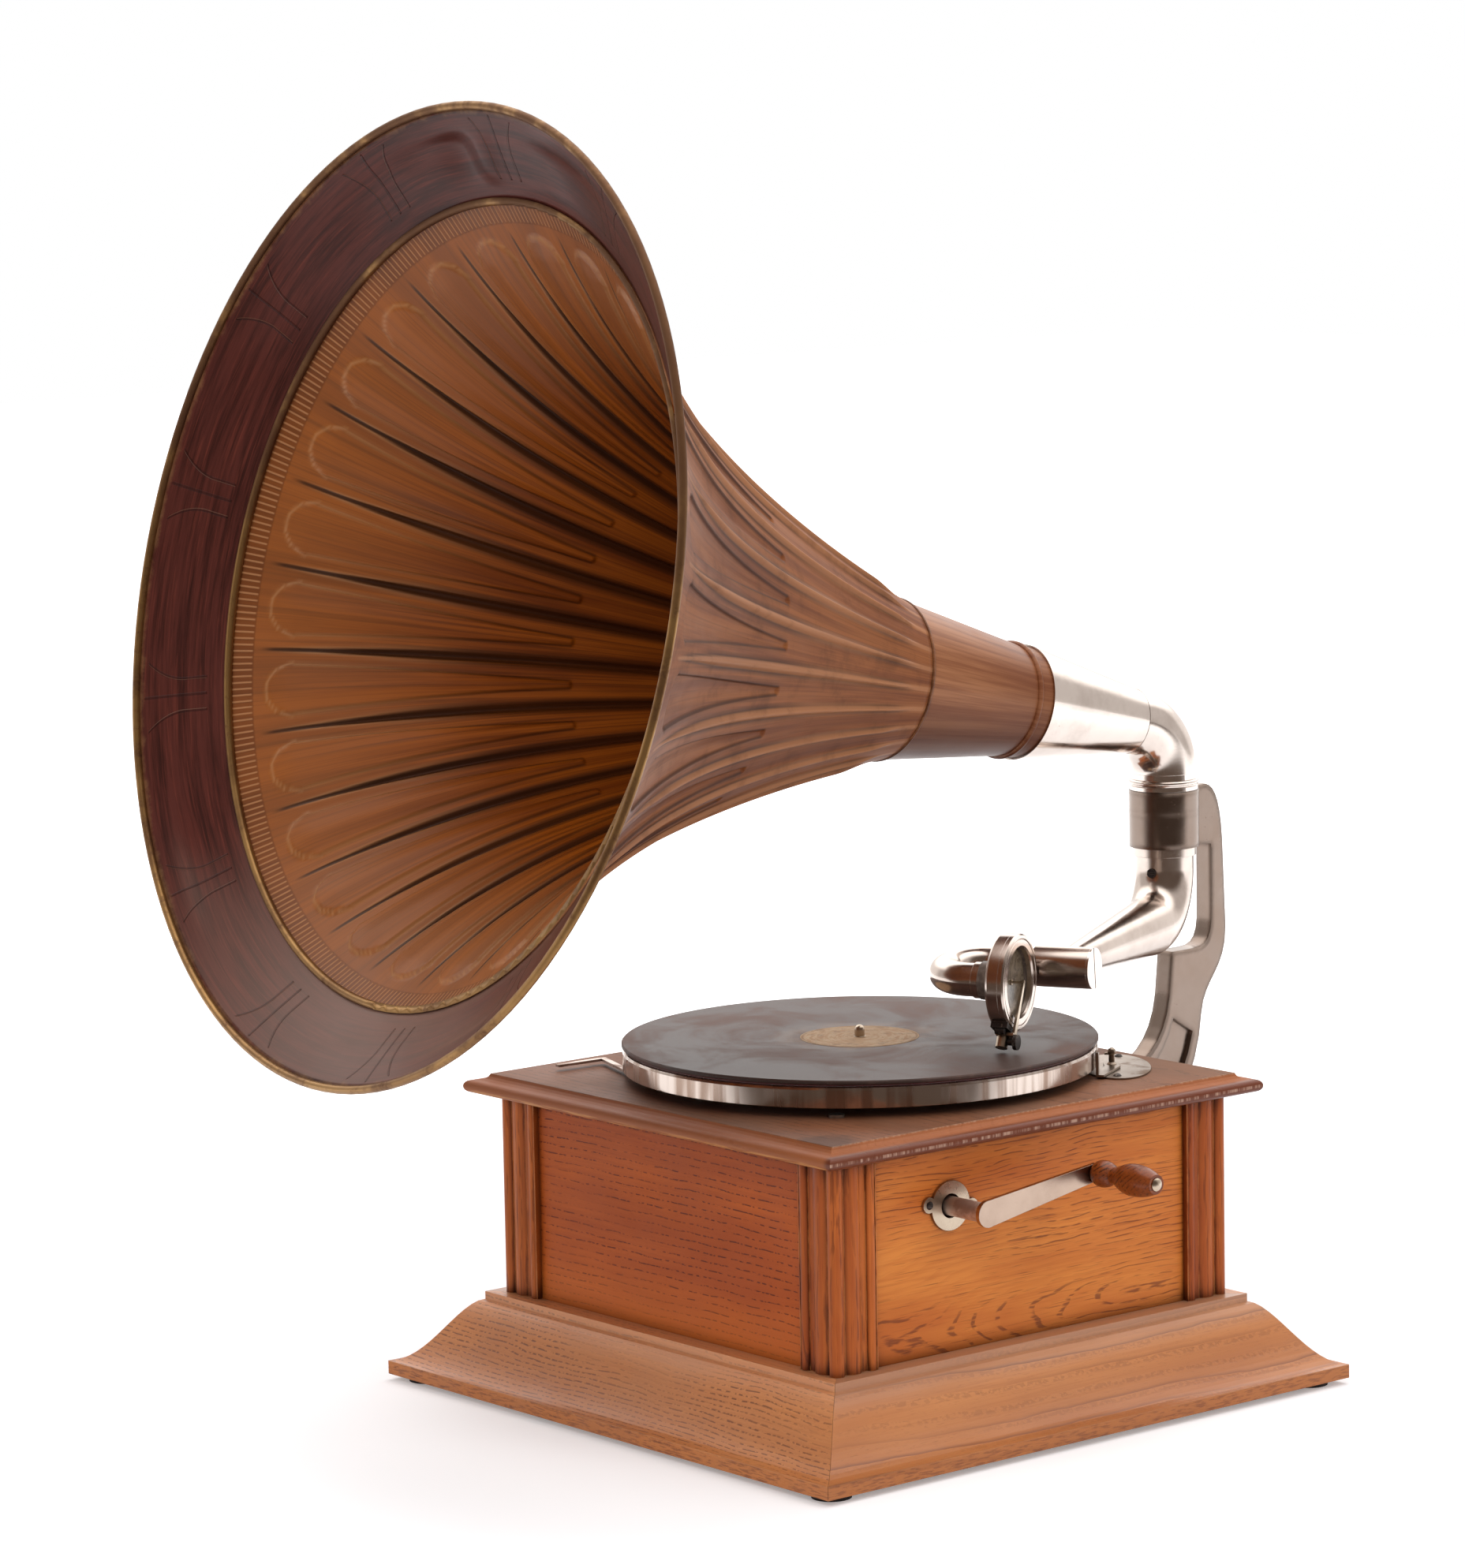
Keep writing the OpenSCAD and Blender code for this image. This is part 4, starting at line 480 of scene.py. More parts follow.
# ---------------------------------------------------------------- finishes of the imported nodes

finish = {
    "plinth": oak("oak_plinth", "frame", rgb(214, 142, 84), rgb(184, 112, 62), rgb(104, 56, 34),
                  (-0.10, 0.34), 0.02, ring=3.2, wobble=1.1, thin=0.26, dash=300.0, amount=0.85,
                  strays=0.25, edge=rgb(218, 150, 90), coat=0.25, last=plinth_last),
    "posts": oak("oak_posts", "z", rgb(204, 112, 46), rgb(146, 64, 22), rgb(80, 30, 12),
                 (0.34, -0.30), 0.01, ring=3.2, wobble=0.8, thin=0.3, dash=60.0, amount=0.5,
                 strays=0.5, dirt_and_shade=0.95, edge=rgb(216, 140, 78)),
    "front": oak("oak_front_panel", "x", rgb(206, 104, 38), rgb(166, 76, 28), rgb(82, 32, 16),
                 (0.62, -0.10), 0.012, ring=5.2, wobble=0.6, thin=0.15, dash=300.0, amount=0.85,
                 strays=0.15, dirt_and_shade=0.9, shine=0.15, last=front_last),
    "right": oak("oak_right_panel", "y", rgb(220, 136, 58), rgb(186, 96, 34), rgb(104, 46, 18),
                 (0.072, 0.1439), -0.10, ring=3.6, wobble=2.2, thin=0.19, dash=60.0, amount=0.7,
                 strays=0.5, dirt_and_shade=0.9),
    "side": oak("oak_far_panels", "x", rgb(206, 110, 44), rgb(172, 80, 28), rgb(96, 40, 18),
                (0.42, 0.10), 0.03, wobble=0.8, amount=0.75, strays=0.2, dirt_and_shade=0.85),
    "lid": oak("oak_lid", "top", rgb(142, 92, 64), rgb(108, 68, 46), rgb(62, 36, 26),
               (0.10, -0.02), 0.015, wobble=0.8, amount=0.6, dirt_and_shade=0.6, edge=rgb(206, 150, 104),
               gloss=0.5, last=lid_last),
    "inner_oak": oak("oak_inner", "x", rgb(190, 140, 92), rgb(160, 110, 66), rgb(110, 70, 42),
                     (0.3, -0.1), 0.02, gloss=0.6),
    "handle": oak("dark_wood", "y", rgb(136, 66, 24), rgb(94, 38, 12), rgb(40, 17, 8),
                  (0.3, 0.1), 0.02, ring=2.6, wobble=0.5, thin=0.3, dash=120.0, strays=0.7,
                  dirt_and_shade=0.4, gloss=0.34, coat=0.25),
    "nickel": plated("nickel", rgb(212, 199, 190), stain_from=0.64),
    "nickel_bright": plated("nickel_bright", rgb(230, 219, 211), rough=0.12, stain_from=0.68),
    "nickel_cast": plated("nickel_cast", rgb(138, 123, 113), rough=0.17, stain_from=0.64, edges=5.0, lumps=0.2),
    "nickel_dull": plated("nickel_dull", rgb(198, 182, 162), rough=0.24, stain_from=0.55),
    "nickel_grey": plated("nickel_grey", rgb(152, 138, 124), rough=0.28, stain_from=0.56),
    "nickel_worn": plated("nickel_worn", rgb(186, 164, 148), rough=0.2, stain_from=0.6),
    "nickel_brown": plated("nickel_brown", rgb(216, 202, 194), rgb(160, 134, 118), 0.45, 0.5),
    "nickel_rim": rim_finish(),
    "steel": turned_steel("steel", rgb(176, 172, 166)),
    "dark_steel": blackened("dark_steel", rgb(66, 60, 58), rgb(150, 140, 130)),
    "brass": turned_steel("brass", rgb(198, 160, 88), 0.34),
    "rubber": plain("rubber", rgb(92, 80, 72), rgb(120, 104, 94), 0.42, 300.0),
    "foot_rubber": plain("foot_rubber", rgb(30, 26, 25), rgb(46, 40, 38), 0.8, 220.0),
    "leather": plain("leather", rgb(120, 76, 44), rgb(88, 52, 30), 0.75, 500.0, 0.2),
    "mica": mica_finish(),
    "shellac": shellac_finish(),
    "label": label_finish(),
    "gold": gold_finish(),
}

FINISH_OF = {
    "plinth": "plinth_moulding",
    "posts": "corner_posts",
    "front": "front_panel",
    "right": "right_panel",
    "side": "back_panel left_panel",
    "lid": "lid_board",
    "inner_oak": "base_board",
    "handle": "crank_handle",
    "nickel_grey": "brake_plate brake_lever brake_knob",
    "nickel": "tone_arm gooseneck soundbox_body front_ring",
    "nickel_bright": "horn_elbow arm_cap",
    "nickel_worn": "crank_arm",
    "nickel_rim": "platter",
    "nickel_cast": "bracket",
    "nickel_dull": "escutcheon spindle handle_pin stylus_bar",
    "nickel_brown": "crank_tube speed_lever",
    "steel": "motor_plates motor_pillars motor_bolts barrel_arbor crown_wheel winding_shaft governor_shaft"
             " spring_barrel mainspring",
    "dark_steel": "escutcheon_screws brake_screws bracket_screws arm_screw bar_saddle thumbscrew governor_springs",
    "brass": "spindle_gears idler_gears governor_disc governor_weights shaft_bearings",
    "rubber": "soundbox_isolator soundbox_gaskets",
    "foot_rubber": "feet",
    "leather": "speed_pad",
    "mica": "diaphragm",
    "shellac": "record",
    "label": "record_label",
    "gold": "horn_rim",
}


def refinish(obj, material):
    """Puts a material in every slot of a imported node, whose mesh stays as it is."""
    for slot in obj.material_slots:
        slot.link = "OBJECT"
        slot.material = material


for key, names in FINISH_OF.items():
    for name in names.split():
        refinish(nodes[name], finish[key])


# ---------------------------------------------------------------- horn

# Sizes of the construction, in millimetres and degrees
PIVOT_Y = 267
HORN_Z = 394
HORN_TURN = -4.5
HORN_RISE = 12.35
SEAM_R = 52
SEAM_AT = 234.5
FLARE_LEN = 369.4
RIM_R = 294.3
THROAT_SLOPE = 0.29
EVEN_SHARE = 0.58
RING_AT = 331
SHEET = 0.7
OPEN_R = RIM_R - SEAM_R - THROAT_SLOPE * FLARE_LEN

# The pressed pattern: panels round the horn, a rib where two meet and a tongue in each
PANELS = 26
RIB_PHASE = 93.9
RIB_H = 2.8
RIB_HALF = 3.4
RIB_TIP_R = 231
RIB_LINES = (0, 0.85, 1.7, 2.55, 3.5)
TONGUE_R = 226
TONGUE_START = 160
TONGUE_STEP = 2.0
TONGUE_DOME = 1.3
EDGE_BAND = 1.3
MARGIN = 9.8
MARGIN_GAIN = 1.7
LEAST_HALF = 14.2
SHEET_END = FLARE_LEN - 1.2  # within the rim's bead
TICKS_A_PANEL = 14  # round the inner bead
MARKS = 13  # of three lines each, on the flare
MARKS_AT = 169.5  # the middle of one of them, in degrees about the axis

# Radii in metres at which a line or band begins, is full, is full to and ends
BEAD_BAND = (0.2312, 0.2322, 0.2424, 0.2432)
TICK_BAND = (0.2318, 0.2328, 0.2418, 0.2425)
MIDDLE_LINE = (0.2545, 0.2552, 0.2880, 0.2892)
SIDE_LINES = (0.2545, 0.2552, 0.2860, 0.2872)
LINE_SIDE = (0.0011, 0.0004)  # the distances from a line's middle at which it ends and is full
SIDE_GAP = 0.0105  # from a mark's middle line to the other two
BEND_FROM = 0.266  # the radius beyond which these two bend away
BEND = 28.0  # how fast, with the square of the way beyond it

DENTS = (  # angle about the axis in degrees, distance from the seam, depth, half sizes in degrees and mm
    (96.5, 352, 4.8, 4.5, 9), (91.0, 350, -3.3, 3.2, 10), (104.0, 356, 3.0, 6.0, 8),
    (118.0, 350, 2.4, 8.0, 12), (70.0, 352, 2.1, 9.0, 12), (20.0, 348, 2.25, 7.0, 10),
    (150.0, 352, 1.8, 9.0, 10), (-60.0, 350, 1.8, 8.0, 12), (-140.0, 352, 1.95, 9.0, 12),
)

horn_place = (Matrix.Translation((0, PIVOT_Y * MM, 0)) @ Matrix.Rotation(math.radians(HORN_TURN), 4, "Z")
              @ Matrix.Translation((0, 0, HORN_Z * MM)) @ Matrix.Rotation(math.radians(90 - HORN_RISE), 4, "X"))


def smooth(v, low=0.0, high=1.0):
    v = min(1.0, max(0.0, (v - low) / (high - low)))
    return v * v * (3 - 2 * v)


def flare_r(s):
    """The horn's radius at distance s from the seam."""
    u = s / FLARE_LEN
    return SEAM_R + THROAT_SLOPE * s + OPEN_R * (EVEN_SHARE * u * u + (1 - EVEN_SHARE) * u ** 5)


def flare_slope(s):
    return (flare_r(s + 0.01) - flare_r(s - 0.01)) / 0.02


def s_at(radius):
    """The distance from the seam at which the horn has a radius."""
    low, high = 0.0, FLARE_LEN
    for _ in range(40):
        mid = (low + high) / 2
        low, high = (mid, high) if flare_r(mid) < radius else (low, mid)
    return low


def arc_length(s0, s1, steps=12):
    """Length along the sheet between two distances from the seam."""
    total = 0.0
    for i in range(steps):
        s = s0 + (s1 - s0) * (i + 0.5) / steps
        total += math.hypot(1, flare_slope(s)) * (s1 - s0) / steps
    return total


def margin(s):
    """Distance from a rib's middle to the tongue's edge beside it."""
    return MARGIN + MARGIN_GAIN * smooth(TONGUE_R - flare_r(s), 0, 110)


def end_centre():
    """Distance from the seam at which the tongue's round end has its centre."""
    s = TONGUE_END
    while arc_length(s, TONGUE_END) < END_HALF:
        s -= 0.25
    return s


RIB_TIP = s_at(RIB_TIP_R)
TONGUE_END = s_at(TONGUE_R)
END_HALF = math.pi * TONGUE_R / PANELS - margin(TONGUE_END) - 1.0
TONGUE_ROUND = end_centre()
ARC_STEP = 0.5
# Arc length from the round end's centre, tabulated once
END_ARCS = [(TONGUE_ROUND + i * ARC_STEP, arc_length(TONGUE_ROUND, TONGUE_ROUND + i * ARC_STEP, 6))
            for i in range(160)]


def along_end(s):
    i = min(len(END_ARCS) - 1, max(0, int((s - TONGUE_ROUND) / ARC_STEP)))
    return END_ARCS[i][1] + (s - END_ARCS[i][0]) * math.hypot(1, flare_slope(s))


def rib_half(s):
    """Half the width of a pressed rib at distance s from the seam."""
    return RIB_HALF * (0.3 + 0.7 * smooth(RIB_TIP - s, 0, 90)) * (0.5 + 0.5 * smooth(s, 0, 130))


def relief(s, t, half):
    """The pressed pattern's height outward, at distance t from a rib's middle in a panel of half
    width half, and from 0 to 1 how near the tongue's edge is."""
    high = RIB_H * smooth(RIB_TIP - s, 0, 60) * smooth(s, 10, 40)
    height = high * math.cos(min(1.0, t / rib_half(s)) * math.pi / 2) ** 1.5
    if s <= TONGUE_START - 2:
        return height, 0.0
    if s < TONGUE_ROUND:
        reach = half - margin(s)
        edge = reach - (half - t)
    else:
        reach = END_HALF
        edge = reach - math.hypot(along_end(s), half - t)
    start = smooth(s, TONGUE_START - 1.2, TONGUE_START + 1.2)
    deep = TONGUE_STEP * smooth(edge, -0.9, 0.9) + TONGUE_DOME * smooth(edge, 0, max(2.0, reach))
    height -= start * deep * (0.5 + 0.5 * smooth(s, TONGUE_START, TONGUE_START + 80))
    return height, start * math.exp(-((edge + 0.3) / 0.9) ** 2)


def dent(angle, s):
    """Height of the flare's dents at an angle about the axis."""
    low, high = RING_AT + 3, FLARE_LEN - 7
    if s < low or s > high:
        return 0.0
    total = 0.0
    for a, at, deep, wide, long in DENTS:
        off = (angle - a + 180) % 360 - 180
        total += deep * math.exp(-(off / wide) ** 2 - ((s - at) / long) ** 2)
    return total * smooth(s, low, low + 9) * smooth(high - s, 0, 7)


def across(s):
    """Distances from a rib's middle at which the sheet has its lines, and half the panel's width."""
    half = math.pi * flare_r(s) / PANELS
    shrink = min(1.0, half / LEAST_HALF)
    m, e = margin(s), EDGE_BAND
    inner = max(LEAST_HALF, half)
    marks = [*RIB_LINES, (RIB_LINES[-1] + m - e) / 2, m - e, m - e / 2, m, m + e / 2, m + e]
    marks += [m + e + (inner - m - e) * k / 6 for k in range(1, 7)]
    return [v * shrink for v in marks], half


def horn_stations():
    """Distances from the seam at which the sheet has its rings."""
    marks = [0.4 + i * 4.0 for i in range(38)]
    s = 154.0
    for end, stride in ((165, 0.8), (TONGUE_ROUND - 4, 4.2), (RIB_TIP + 2, 1.25), (RING_AT - 1, 2.5),
                        (FLARE_LEN - 2.4, 1.8)):
        while s < end:
            marks.append(s)
            s += stride
    return marks + [SHEET_END]


def sheet_ring(bm, s, inner, groove, crease):
    """A ring of points on one face of the sheet, with their share of rib and of pressed edge."""
    r, slope = flare_r(s), flare_slope(s)
    k = 1 / math.hypot(1, slope)
    wide = rib_half(s)
    marks, half = across(s)
    marks = marks + [2 * half - v for v in reversed(marks[1:-1])]
    ring = []
    for panel in range(PANELS):
        for t in marks:
            angle = RIB_PHASE + (panel * 2 * half + t) / r * 180 / math.pi
            near = min(t, 2 * half - t)
            lift, tongue_edge = relief(s, near, half) if s < RING_AT - 2 else (0.0, 0.0)
            lift += dent(angle, s) - (SHEET if inner else 0)
            a = math.radians(angle)
            out = r + lift * k
            at = Vector((out * math.cos(a), out * math.sin(a), SEAM_AT + s - lift * k * slope))
            vert = bm.verts.new(horn_place @ (at * MM))
            vert[groove] = smooth(wide * 1.1 - near, 0, wide * 0.45) * smooth(RIB_TIP - s, 0, 8)
            foot = math.exp(-(near - wide) ** 2) * smooth(RIB_TIP - s, 0, 30)
            vert[crease] = max(tongue_edge, foot * smooth(s, 12, 40))
            ring.append(vert)
    return ring


def build_horn_sheet():
    """The pressed sheet from the seam to the rim, as one skin inside and one outside."""
    stations = horn_stations()
    bm = bmesh.new()
    groove = bm.verts.layers.float.new("groove")
    crease = bm.verts.layers.float.new("crease")
    skins = {inner: [sheet_ring(bm, s, inner, groove, crease) for s in stations] for inner in (False, True)}
    around = len(skins[False][0])
    for inner, rings in skins.items():
        for s, a, b in zip(stations, rings, rings[1:]):
            for j in range(around):
                n = (j + 1) % around
                face = bm.faces.new((a[j], b[j], b[n], a[n]) if inner else (a[j], a[n], b[n], b[j]))
                face.smooth = True
                if inner:
                    face.material_index = 2 if s > RING_AT else 1
    for i, flip in ((0, False), (-1, True)):
        outside, inside = skins[False][i], skins[True][i]
        for j in range(around):
            n = (j + 1) % around
            quad = (outside[j], inside[j], inside[n], outside[n])
            bm.faces.new(quad[::-1] if flip else quad)
    return mesh_object("horn_sheet", bm)


def mesh_object(name, bm):
    bmesh.ops.recalc_face_normals(bm, faces=bm.faces[:])
    mesh = bpy.data.meshes.new(name)
    bm.to_mesh(mesh)
    bm.free()
    obj = bpy.data.objects.new(name, mesh)
    scene.collection.objects.link(obj)
    return obj


def horn_polar(f):
    """The place; its distance from the horn's axis and along it from the pivot; its direction
    about the axis as two parts and as an angle."""
    where = f.where()
    from_pivot = f.node("VectorMath", (where, tuple(horn_place.translation)), operation="SUBTRACT").outputs[0]
    x, y, z = (f.dot(from_pivot, tuple(horn_place.col[k][:3])) for k in range(3))
    r = f.size(x, y)
    return where, r, z, f.math("DIVIDE", x, r), f.math("DIVIDE", y, r), f.math("ARCTAN2", y, x)


def painted_grain(f, unit_x, unit_y, along, fineness, length):
    """Streaks of painted wood grain that run along the horn."""
    v = f.vector(f.mul(unit_x, fineness), f.mul(unit_y, fineness), f.mul(along, length))
    return f.noise(v, 1.0, 4.0, 0.65)


def grained_paint(name, pale, deep, line, shine, coat, weights):
    """A finish with painted wood grain on the horn, its colour so far, and what the rest needs."""
    f = Finish(name, Coat_Weight=coat, Coat_Roughness=0.3, Specular_IOR_Level=shine)
    where, r, z, ux, uy, turn = horn_polar(f)
    broad = painted_grain(f, ux, uy, z, 9.0, 4.0)
    streak = painted_grain(f, ux, uy, z, 70.0, 5.0)
    hair = painted_grain(f, ux, uy, z, 210.0, 7.0)
    color = f.mix(f.step(broad, 0.36, 0.66), pale, deep)
    color = f.mix(f.mul(f.step(streak, 0.46, 0.66), weights[0]), color, line)
    color = f.mix(f.mul(f.step(hair, 0.5, 0.7), weights[1]), color, line)
    groove, crease = (f.node("Attribute", attribute_name=key).outputs["Fac"] for key in ("groove", "crease"))
    return f, color, hair, f.noise(where, 40.0, 5.0, 0.65), groove, crease, r, z, turn


def outside_skin():
    dirt_and_shade = rgb(44, 22, 14)
    f, color, hair, grime_and_shade, groove, crease, _, _, _ = grained_paint(
        "horn_outside", rgb(148, 90, 51), rgb(114, 62, 33), rgb(72, 37, 20), 0.12, 0.0, (0.25, 0.18))
    # Painted shade along the creases at the ribs' feet and the tongues' edges, and a painted highlight on the
    # ribs' crests
    color = f.mix(f.mul(crease, 0.8), color, dirt_and_shade)
    color = f.mix(f.mul(groove, 0.5), color, rgb(184, 130, 92))
    color = f.mix(f.mul(f.step(grime_and_shade, 0.5, 0.68), 0.25), color, dirt_and_shade)
    normal = f.bump(f.add(f.mul(hair, 0.15), f.mul(grime_and_shade, 0.6)), 0.12 * MM, 0.5)
    return f.done(color, f.between(grime_and_shade, 0.38, 0.56), normal)


def inside_skin():
    """Orange paint, paler toward the mouth with painted sheen and dust, and dark in the throat, with ticks round
    the bead. Painted shade and painted highlights lie along the tongues' edges.
    """
    line, dirt_and_shade = rgb(72, 29, 5), rgb(36, 18, 8)
    f, color, hair, grime_and_shade, groove, crease, r, z, turn = grained_paint(
        "horn_inside", rgb(154, 78, 14), rgb(114, 51, 6), line, 0.16, 0.16, (0.55, 0.4))
    mouth = f.step(z, (SEAM_AT + 190) * MM, (SEAM_AT + 320) * MM)
    # Painted shade along the tongues' edges, fading toward the mouth
    color = f.mix(f.mul(crease, f.between(mouth, 0.7, 0.1)), color, dirt_and_shade)
    # Painted sheen and dust: paler toward the mouth
    color = f.mix(f.mul(mouth, 0.45), color, rgb(150, 92, 46))
    # Painted highlight on the tongues' edges near the mouth
    color = f.mix(f.mul(f.mul(crease, mouth), 0.36), color, rgb(196, 146, 98))
    # Painted sheen and dust on upward faces near the mouth
    color = f.mix(f.mul(f.mul(f.facing(0.45, 1.0), mouth), 0.2), color, rgb(144, 108, 80))
    color = f.mix(f.mul(groove, 0.85), color, dirt_and_shade)
    throat = f.step(z, (SEAM_AT + 250) * MM, (SEAM_AT + 60) * MM)
    color = f.mix(f.mul(throat, 0.35), color, line)
    saw = f.math("SINE", f.mul(turn, float(PANELS * TICKS_A_PANEL)))
    ticks = f.mul(f.step(saw, 0.25, 0.95), f.span(r, *TICK_BAND))
    color = f.mix(f.mul(f.span(r, *BEAD_BAND), 0.4), color, line)
    color = f.mix(f.mul(ticks, 0.55), color, rgb(198, 140, 92))
    normal = f.bump(f.add(ticks, f.mul(hair, 0.06)), 0.7 * MM, 0.55)
    return f.done(color, f.between(grime_and_shade, 0.36, 0.52), normal)


def flare_skin():
    """The dark red border: streaks round the horn, painted sheen and dust on its upward faces, and pressed
    three-line marks drawn with painted shade and a painted highlight.
    """
    f = Finish("horn_maroon", Coat_Weight=0.06, Coat_Roughness=0.14, Specular_IOR_Level=0.12)
    where, r, _, ux, uy, turn = horn_polar(f)
    bands = f.noise(f.vector(f.mul(ux, 2.6), f.mul(uy, 2.6), f.mul(r, 260.0)), 1.0, 4.0, 0.7)
    fine = f.noise(f.vector(f.mul(ux, 5.0), f.mul(uy, 5.0), f.mul(r, 900.0)), 1.0, 3.0, 0.7)
    color = f.mix(f.step(bands, 0.36, 0.68), rgb(84, 39, 32), rgb(54, 24, 19))
    color = f.mix(f.mul(f.step(fine, 0.5, 0.72), 0.5), color, rgb(112, 52, 40))
    # Painted sheen and dust on upward faces
    color = f.mix(f.mul(f.facing(0.5, 1.0), 0.75), color, rgb(150, 120, 106))
    sector = 2 * math.pi / MARKS
    start = math.radians(MARKS_AT) - sector / 2
    turned = f.math("FRACT", f.math("DIVIDE", f.sub(turn, start - 4 * math.pi), sector))
    side = f.math("ABSOLUTE", f.mul(f.mul(f.sub(turned, 0.5), sector), r))
    out = f.larger(f.sub(r, BEND_FROM), 0.0)
    spread = f.add(SIDE_GAP, f.mul(f.mul(out, out), BEND))
    middle_line = f.mul(f.step(side, *LINE_SIDE), f.span(r, *MIDDLE_LINE))
    gap = f.math("ABSOLUTE", f.sub(side, spread))
    side_line = f.mul(f.step(gap, *LINE_SIDE), f.span(r, *SIDE_LINES))
    mark = f.larger(middle_line, side_line)
    # Painted shade in the pressed lines
    color = f.mix(f.mul(mark, 0.45), color, rgb(36, 18, 16))
    # Painted highlight on one side of each side line
    shine = f.mul(f.step(f.sub(side, spread), -0.0003, -0.0008), f.mul(side_line, 0.8))
    color = f.mix(f.mul(shine, 0.7), color, rgb(170, 122, 98))
    wear = f.step(f.add(r, f.mul(f.noise(where, 60.0, 5.0, 0.7), 0.010)), 0.2935, 0.2985)
    color = f.mix(f.mul(wear, 0.6), color, rgb(150, 110, 72))
    normal = f.bump(mark, 0.9 * MM, 0.9, f.bump(f.noise(where, 20.0, 2.0), 1.2 * MM, 0.25))
    return f.done(color, f.between(f.noise(where, 22.0, 5.0, 0.6), 0.26, 0.46), normal)


def neck_skin():
    """The neck's paint, with painted shade underneath, darker at its mouth, and with a dirty seam."""
    f = Finish("horn_neck", Coat_Weight=0.05, Coat_Roughness=0.2, Specular_IOR_Level=0.2)
    where, _, z, ux, uy, _ = horn_polar(f)
    streak = painted_grain(f, ux, uy, z, 7.0, 5.0)
    hair = painted_grain(f, ux, uy, z, 90.0, 9.0)
    color = f.mix(f.step(streak, 0.36, 0.66), rgb(162, 108, 72), rgb(126, 74, 44))
    color = f.mix(f.mul(f.step(hair, 0.5, 0.7), 0.15), color, rgb(84, 44, 26))
    # Painted shade on the neck's underside
    color = f.mix(f.mul(f.facing(-0.05, -0.75), 0.75), color, rgb(70, 26, 6))
    color = f.mix(f.mul(f.step(z, 0.20, 0.135), 0.35), color, rgb(92, 46, 30))
    grime_and_shade = f.noise(where, 50.0, 5.0, 0.65)
    seam = f.step(z, (SEAM_AT - 4) * MM, (SEAM_AT - 1.5) * MM)
    color = f.mix(f.mul(f.mul(seam, f.step(grime_and_shade, 0.3, 0.55)), 0.6), color, rgb(64, 38, 26))
    return f.done(color, f.between(grime_and_shade, 0.26, 0.44), f.bump(hair, 0.1 * MM, 0.4))


horn_sheet = build_horn_sheet()
for skin in (outside_skin, inside_skin, flare_skin):
    horn_sheet.data.materials.append(skin())
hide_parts("horn_body", "horn_flare")
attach(horn_sheet, "horn")
refinish(nodes["horn_neck"], neck_skin())


# ---------------------------------------------------------------- felt

FELT_HOLE = 3.95 * MM
FELT_TURNS = 180
FELT_RINGS = 24


def felt_profile(outer):
    """Half the felt's cut, as distances from the axis and shares of the thickness."""
    even = [FELT_HOLE + (outer - FELT_HOLE) * k / FELT_RINGS for k in range(1, FELT_RINGS)]
    edge = [(0.5, 0.0), (0.15, 0.2), (0.0, 0.5), (0.15, 0.8), (0.5, 1.0)]
    return [(FELT_HOLE, 0.12), (FELT_HOLE + 0.3 * MM, 0.0), *((r, 0.0) for r in even),
            *((outer - inset * MM, share) for inset, share in edge),
            *((r, 1.0) for r in reversed(even)), (FELT_HOLE + 0.3 * MM, 1.0), (FELT_HOLE, 0.88)]


def felt_skin():
    f = Finish("felt", Sheen_Weight=0.6, Sheen_Roughness=0.5)
    where = f.where()
    nap = f.noise(where, 900.0, 4.0, 0.75, 1.5)
    color = f.mix(f.step(nap, 0.35, 0.68), rgb(98, 30, 28), rgb(62, 18, 18))
    color = f.mix(f.mul(f.step(f.noise(where, 30.0, 4.0, 0.6), 0.5, 0.72), 0.4), color, rgb(112, 62, 50))
    return f.done(color, f.between(nap, 0.88, 1.0), f.bump(nap, 0.35 * MM, 0.8))


def build_felt():
    """A disc of felt with a spindle hole, a soft edge and a slightly uneven face."""
    low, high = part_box("felt_mat")
    outer = (high[0] - low[0]) / 2
    thick = high[2] - low[2]
    bm = bmesh.new()
    cuts = []
    for k in range(FELT_TURNS):
        a = 2 * math.pi * k / FELT_TURNS
        cut = []
        for r, share in felt_profile(outer):
            dip = 0.04 * MM * math.sin(5 * a + r * 90) if share == 1.0 else 0.0
            cut.append(bm.verts.new((r * math.cos(a), r * math.sin(a), low[2] + thick * share - abs(dip))))
        cuts.append(cut)
    for k, a in enumerate(cuts):
        b = cuts[(k + 1) % FELT_TURNS]
        for j in range(len(a)):
            n = (j + 1) % len(a)
            bm.faces.new((a[j], b[j], b[n], a[n])).smooth = True
    obj = mesh_object("felt", bm)
    obj.data.materials.append(felt_skin())
    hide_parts("felt_mat")
    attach(obj, "turntable")


build_felt()


# ---------------------------------------------------------------- floor, light and surroundings

ROOM = (0.13, 0.095, 0.075, 1)  # the room that shiny faces reflect
WHITE = (1, 1, 1, 1)
PAPER = (0.86, 0.85, 0.87, 1)
SOFT_WHITE = (1.0, 0.985, 0.97, 1)
TO_CAMERA = (0.76, -0.64, 0.0)
FLOOR_HALF = 9.0


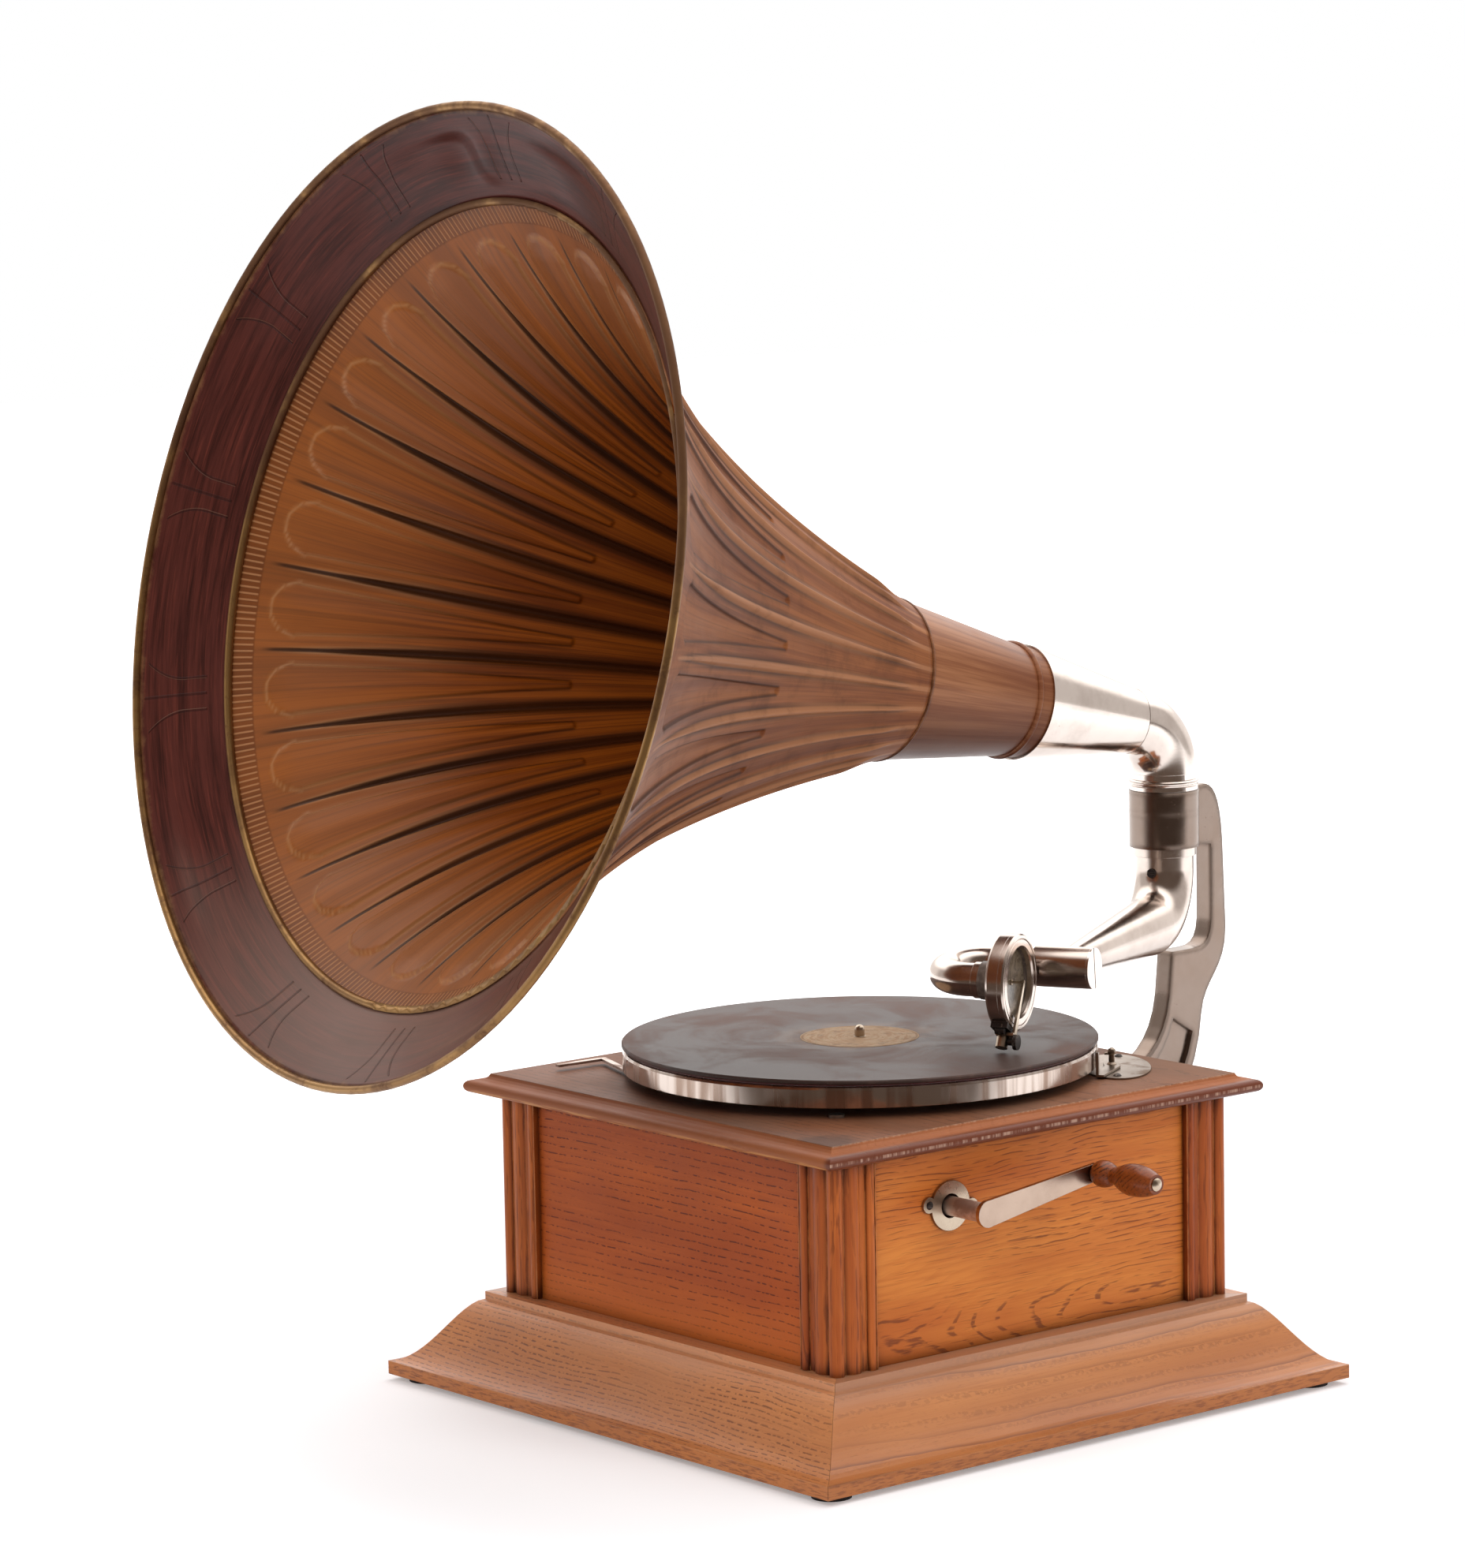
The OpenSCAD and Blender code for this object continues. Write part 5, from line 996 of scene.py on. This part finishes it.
def build_floor():
    """A pale floor that glows to white away from the object. In reflections its part before the
    camera is the dim room."""
    mesh = bpy.data.meshes.new("floor")
    h = FLOOR_HALF
    mesh.from_pydata([(-h, -h, 0), (h, -h, 0), (h, h, 0), (-h, h, 0)], [], [(0, 1, 2, 3)])
    obj = bpy.data.objects.new("floor", mesh)
    scene.collection.objects.link(obj)
    material = bpy.data.materials.new("floor")
    material.use_nodes = True
    f = Nodes(material.node_tree)
    f.tree.nodes.clear()
    path = f.node("LightPath").outputs
    where = f.where()
    away = f.node("VectorMath", (where,), operation="LENGTH").outputs["Value"]
    seen = f.larger(path["Is Camera Ray"], path["Is Glossy Ray"])
    glow = f.node("Emission", (WHITE, f.mul(seen, f.step(away, 0.35, 1.9, 0.27, 1.0)))).outputs[0]
    lit = f.node("AddShader", (f.node("BsdfDiffuse", (PAPER,)).outputs[0], glow)).outputs[0]
    beyond = f.mul(f.step(f.dot(where, TO_CAMERA), 0.4, 0.8), path["Is Glossy Ray"])
    dim = f.node("Emission", (ROOM,)).outputs[0]
    f.node("OutputMaterial", (f.node("MixShader", (beyond, lit, dim)).outputs[0],))
    mesh.materials.append(material)


def build_world():
    """White where the background is seen, soft light on the object, and for reflections a white
    backdrop, a bright ceiling and a dim warm room behind the camera."""
    world = bpy.data.worlds.new("studio")
    world.use_nodes = True
    scene.world = world
    f = Nodes(world.node_tree)
    f.tree.nodes.clear()
    path = f.node("LightPath").outputs
    where = f.node("TexCoord").outputs["Generated"]
    forward = f.dot(where, Vector(TO_CAMERA).normalized())
    upward = f.dot(where, Vector((-0.35, 0.35, 0.85)).normalized())
    sides = f.step(forward, 0.55, 0.1, 0.0, 0.55)
    backdrop = f.step(forward, -0.15, -0.6)
    ceiling = f.step(upward, 0.45, 0.8, 0.0, 2.2)

    def background(color, strength):
        return f.node("Background", (color, strength)).outputs[0]

    lit = background(SOFT_WHITE, f.larger(f.larger(sides, backdrop), ceiling))
    room = f.node("AddShader", (lit, background(ROOM, 1.0))).outputs[0]
    unseen = f.node("MixShader", (path["Is Glossy Ray"], background(SOFT_WHITE, 0.55), room)).outputs[0]
    seen = f.larger(path["Is Camera Ray"], path["Is Transmission Ray"])
    f.node("OutputWorld", (f.node("MixShader", (seen, unseen, background(WHITE, 1.0))).outputs[0],))


def build_lamp(name, at, size, power):
    """A soft rectangular lamp that is turned to the object and doesn't show in reflections."""
    data = bpy.data.lights.new(name, "AREA")
    data.shape = "RECTANGLE"
    data.size, data.size_y = size
    data.energy = power
    data.color = (1.0, 0.985, 0.965)
    obj = bpy.data.objects.new(name, data)
    scene.collection.objects.link(obj)
    obj.location = at
    obj.rotation_euler = (Vector(at) - Vector((0, 0, 0.3))).to_track_quat("Z", "Y").to_euler()
    obj.visible_glossy = False


build_floor()
build_world()
build_lamp("key_lamp", (1.2, -2.6, 2.7), (2.2, 2.2), 42)
build_lamp("side_lamp", (2.9, 0.9, 2.1), (1.6, 2.2), 26)
build_lamp("top_lamp", (-0.6, 0.6, 3.2), (2.6, 2.6), 54)
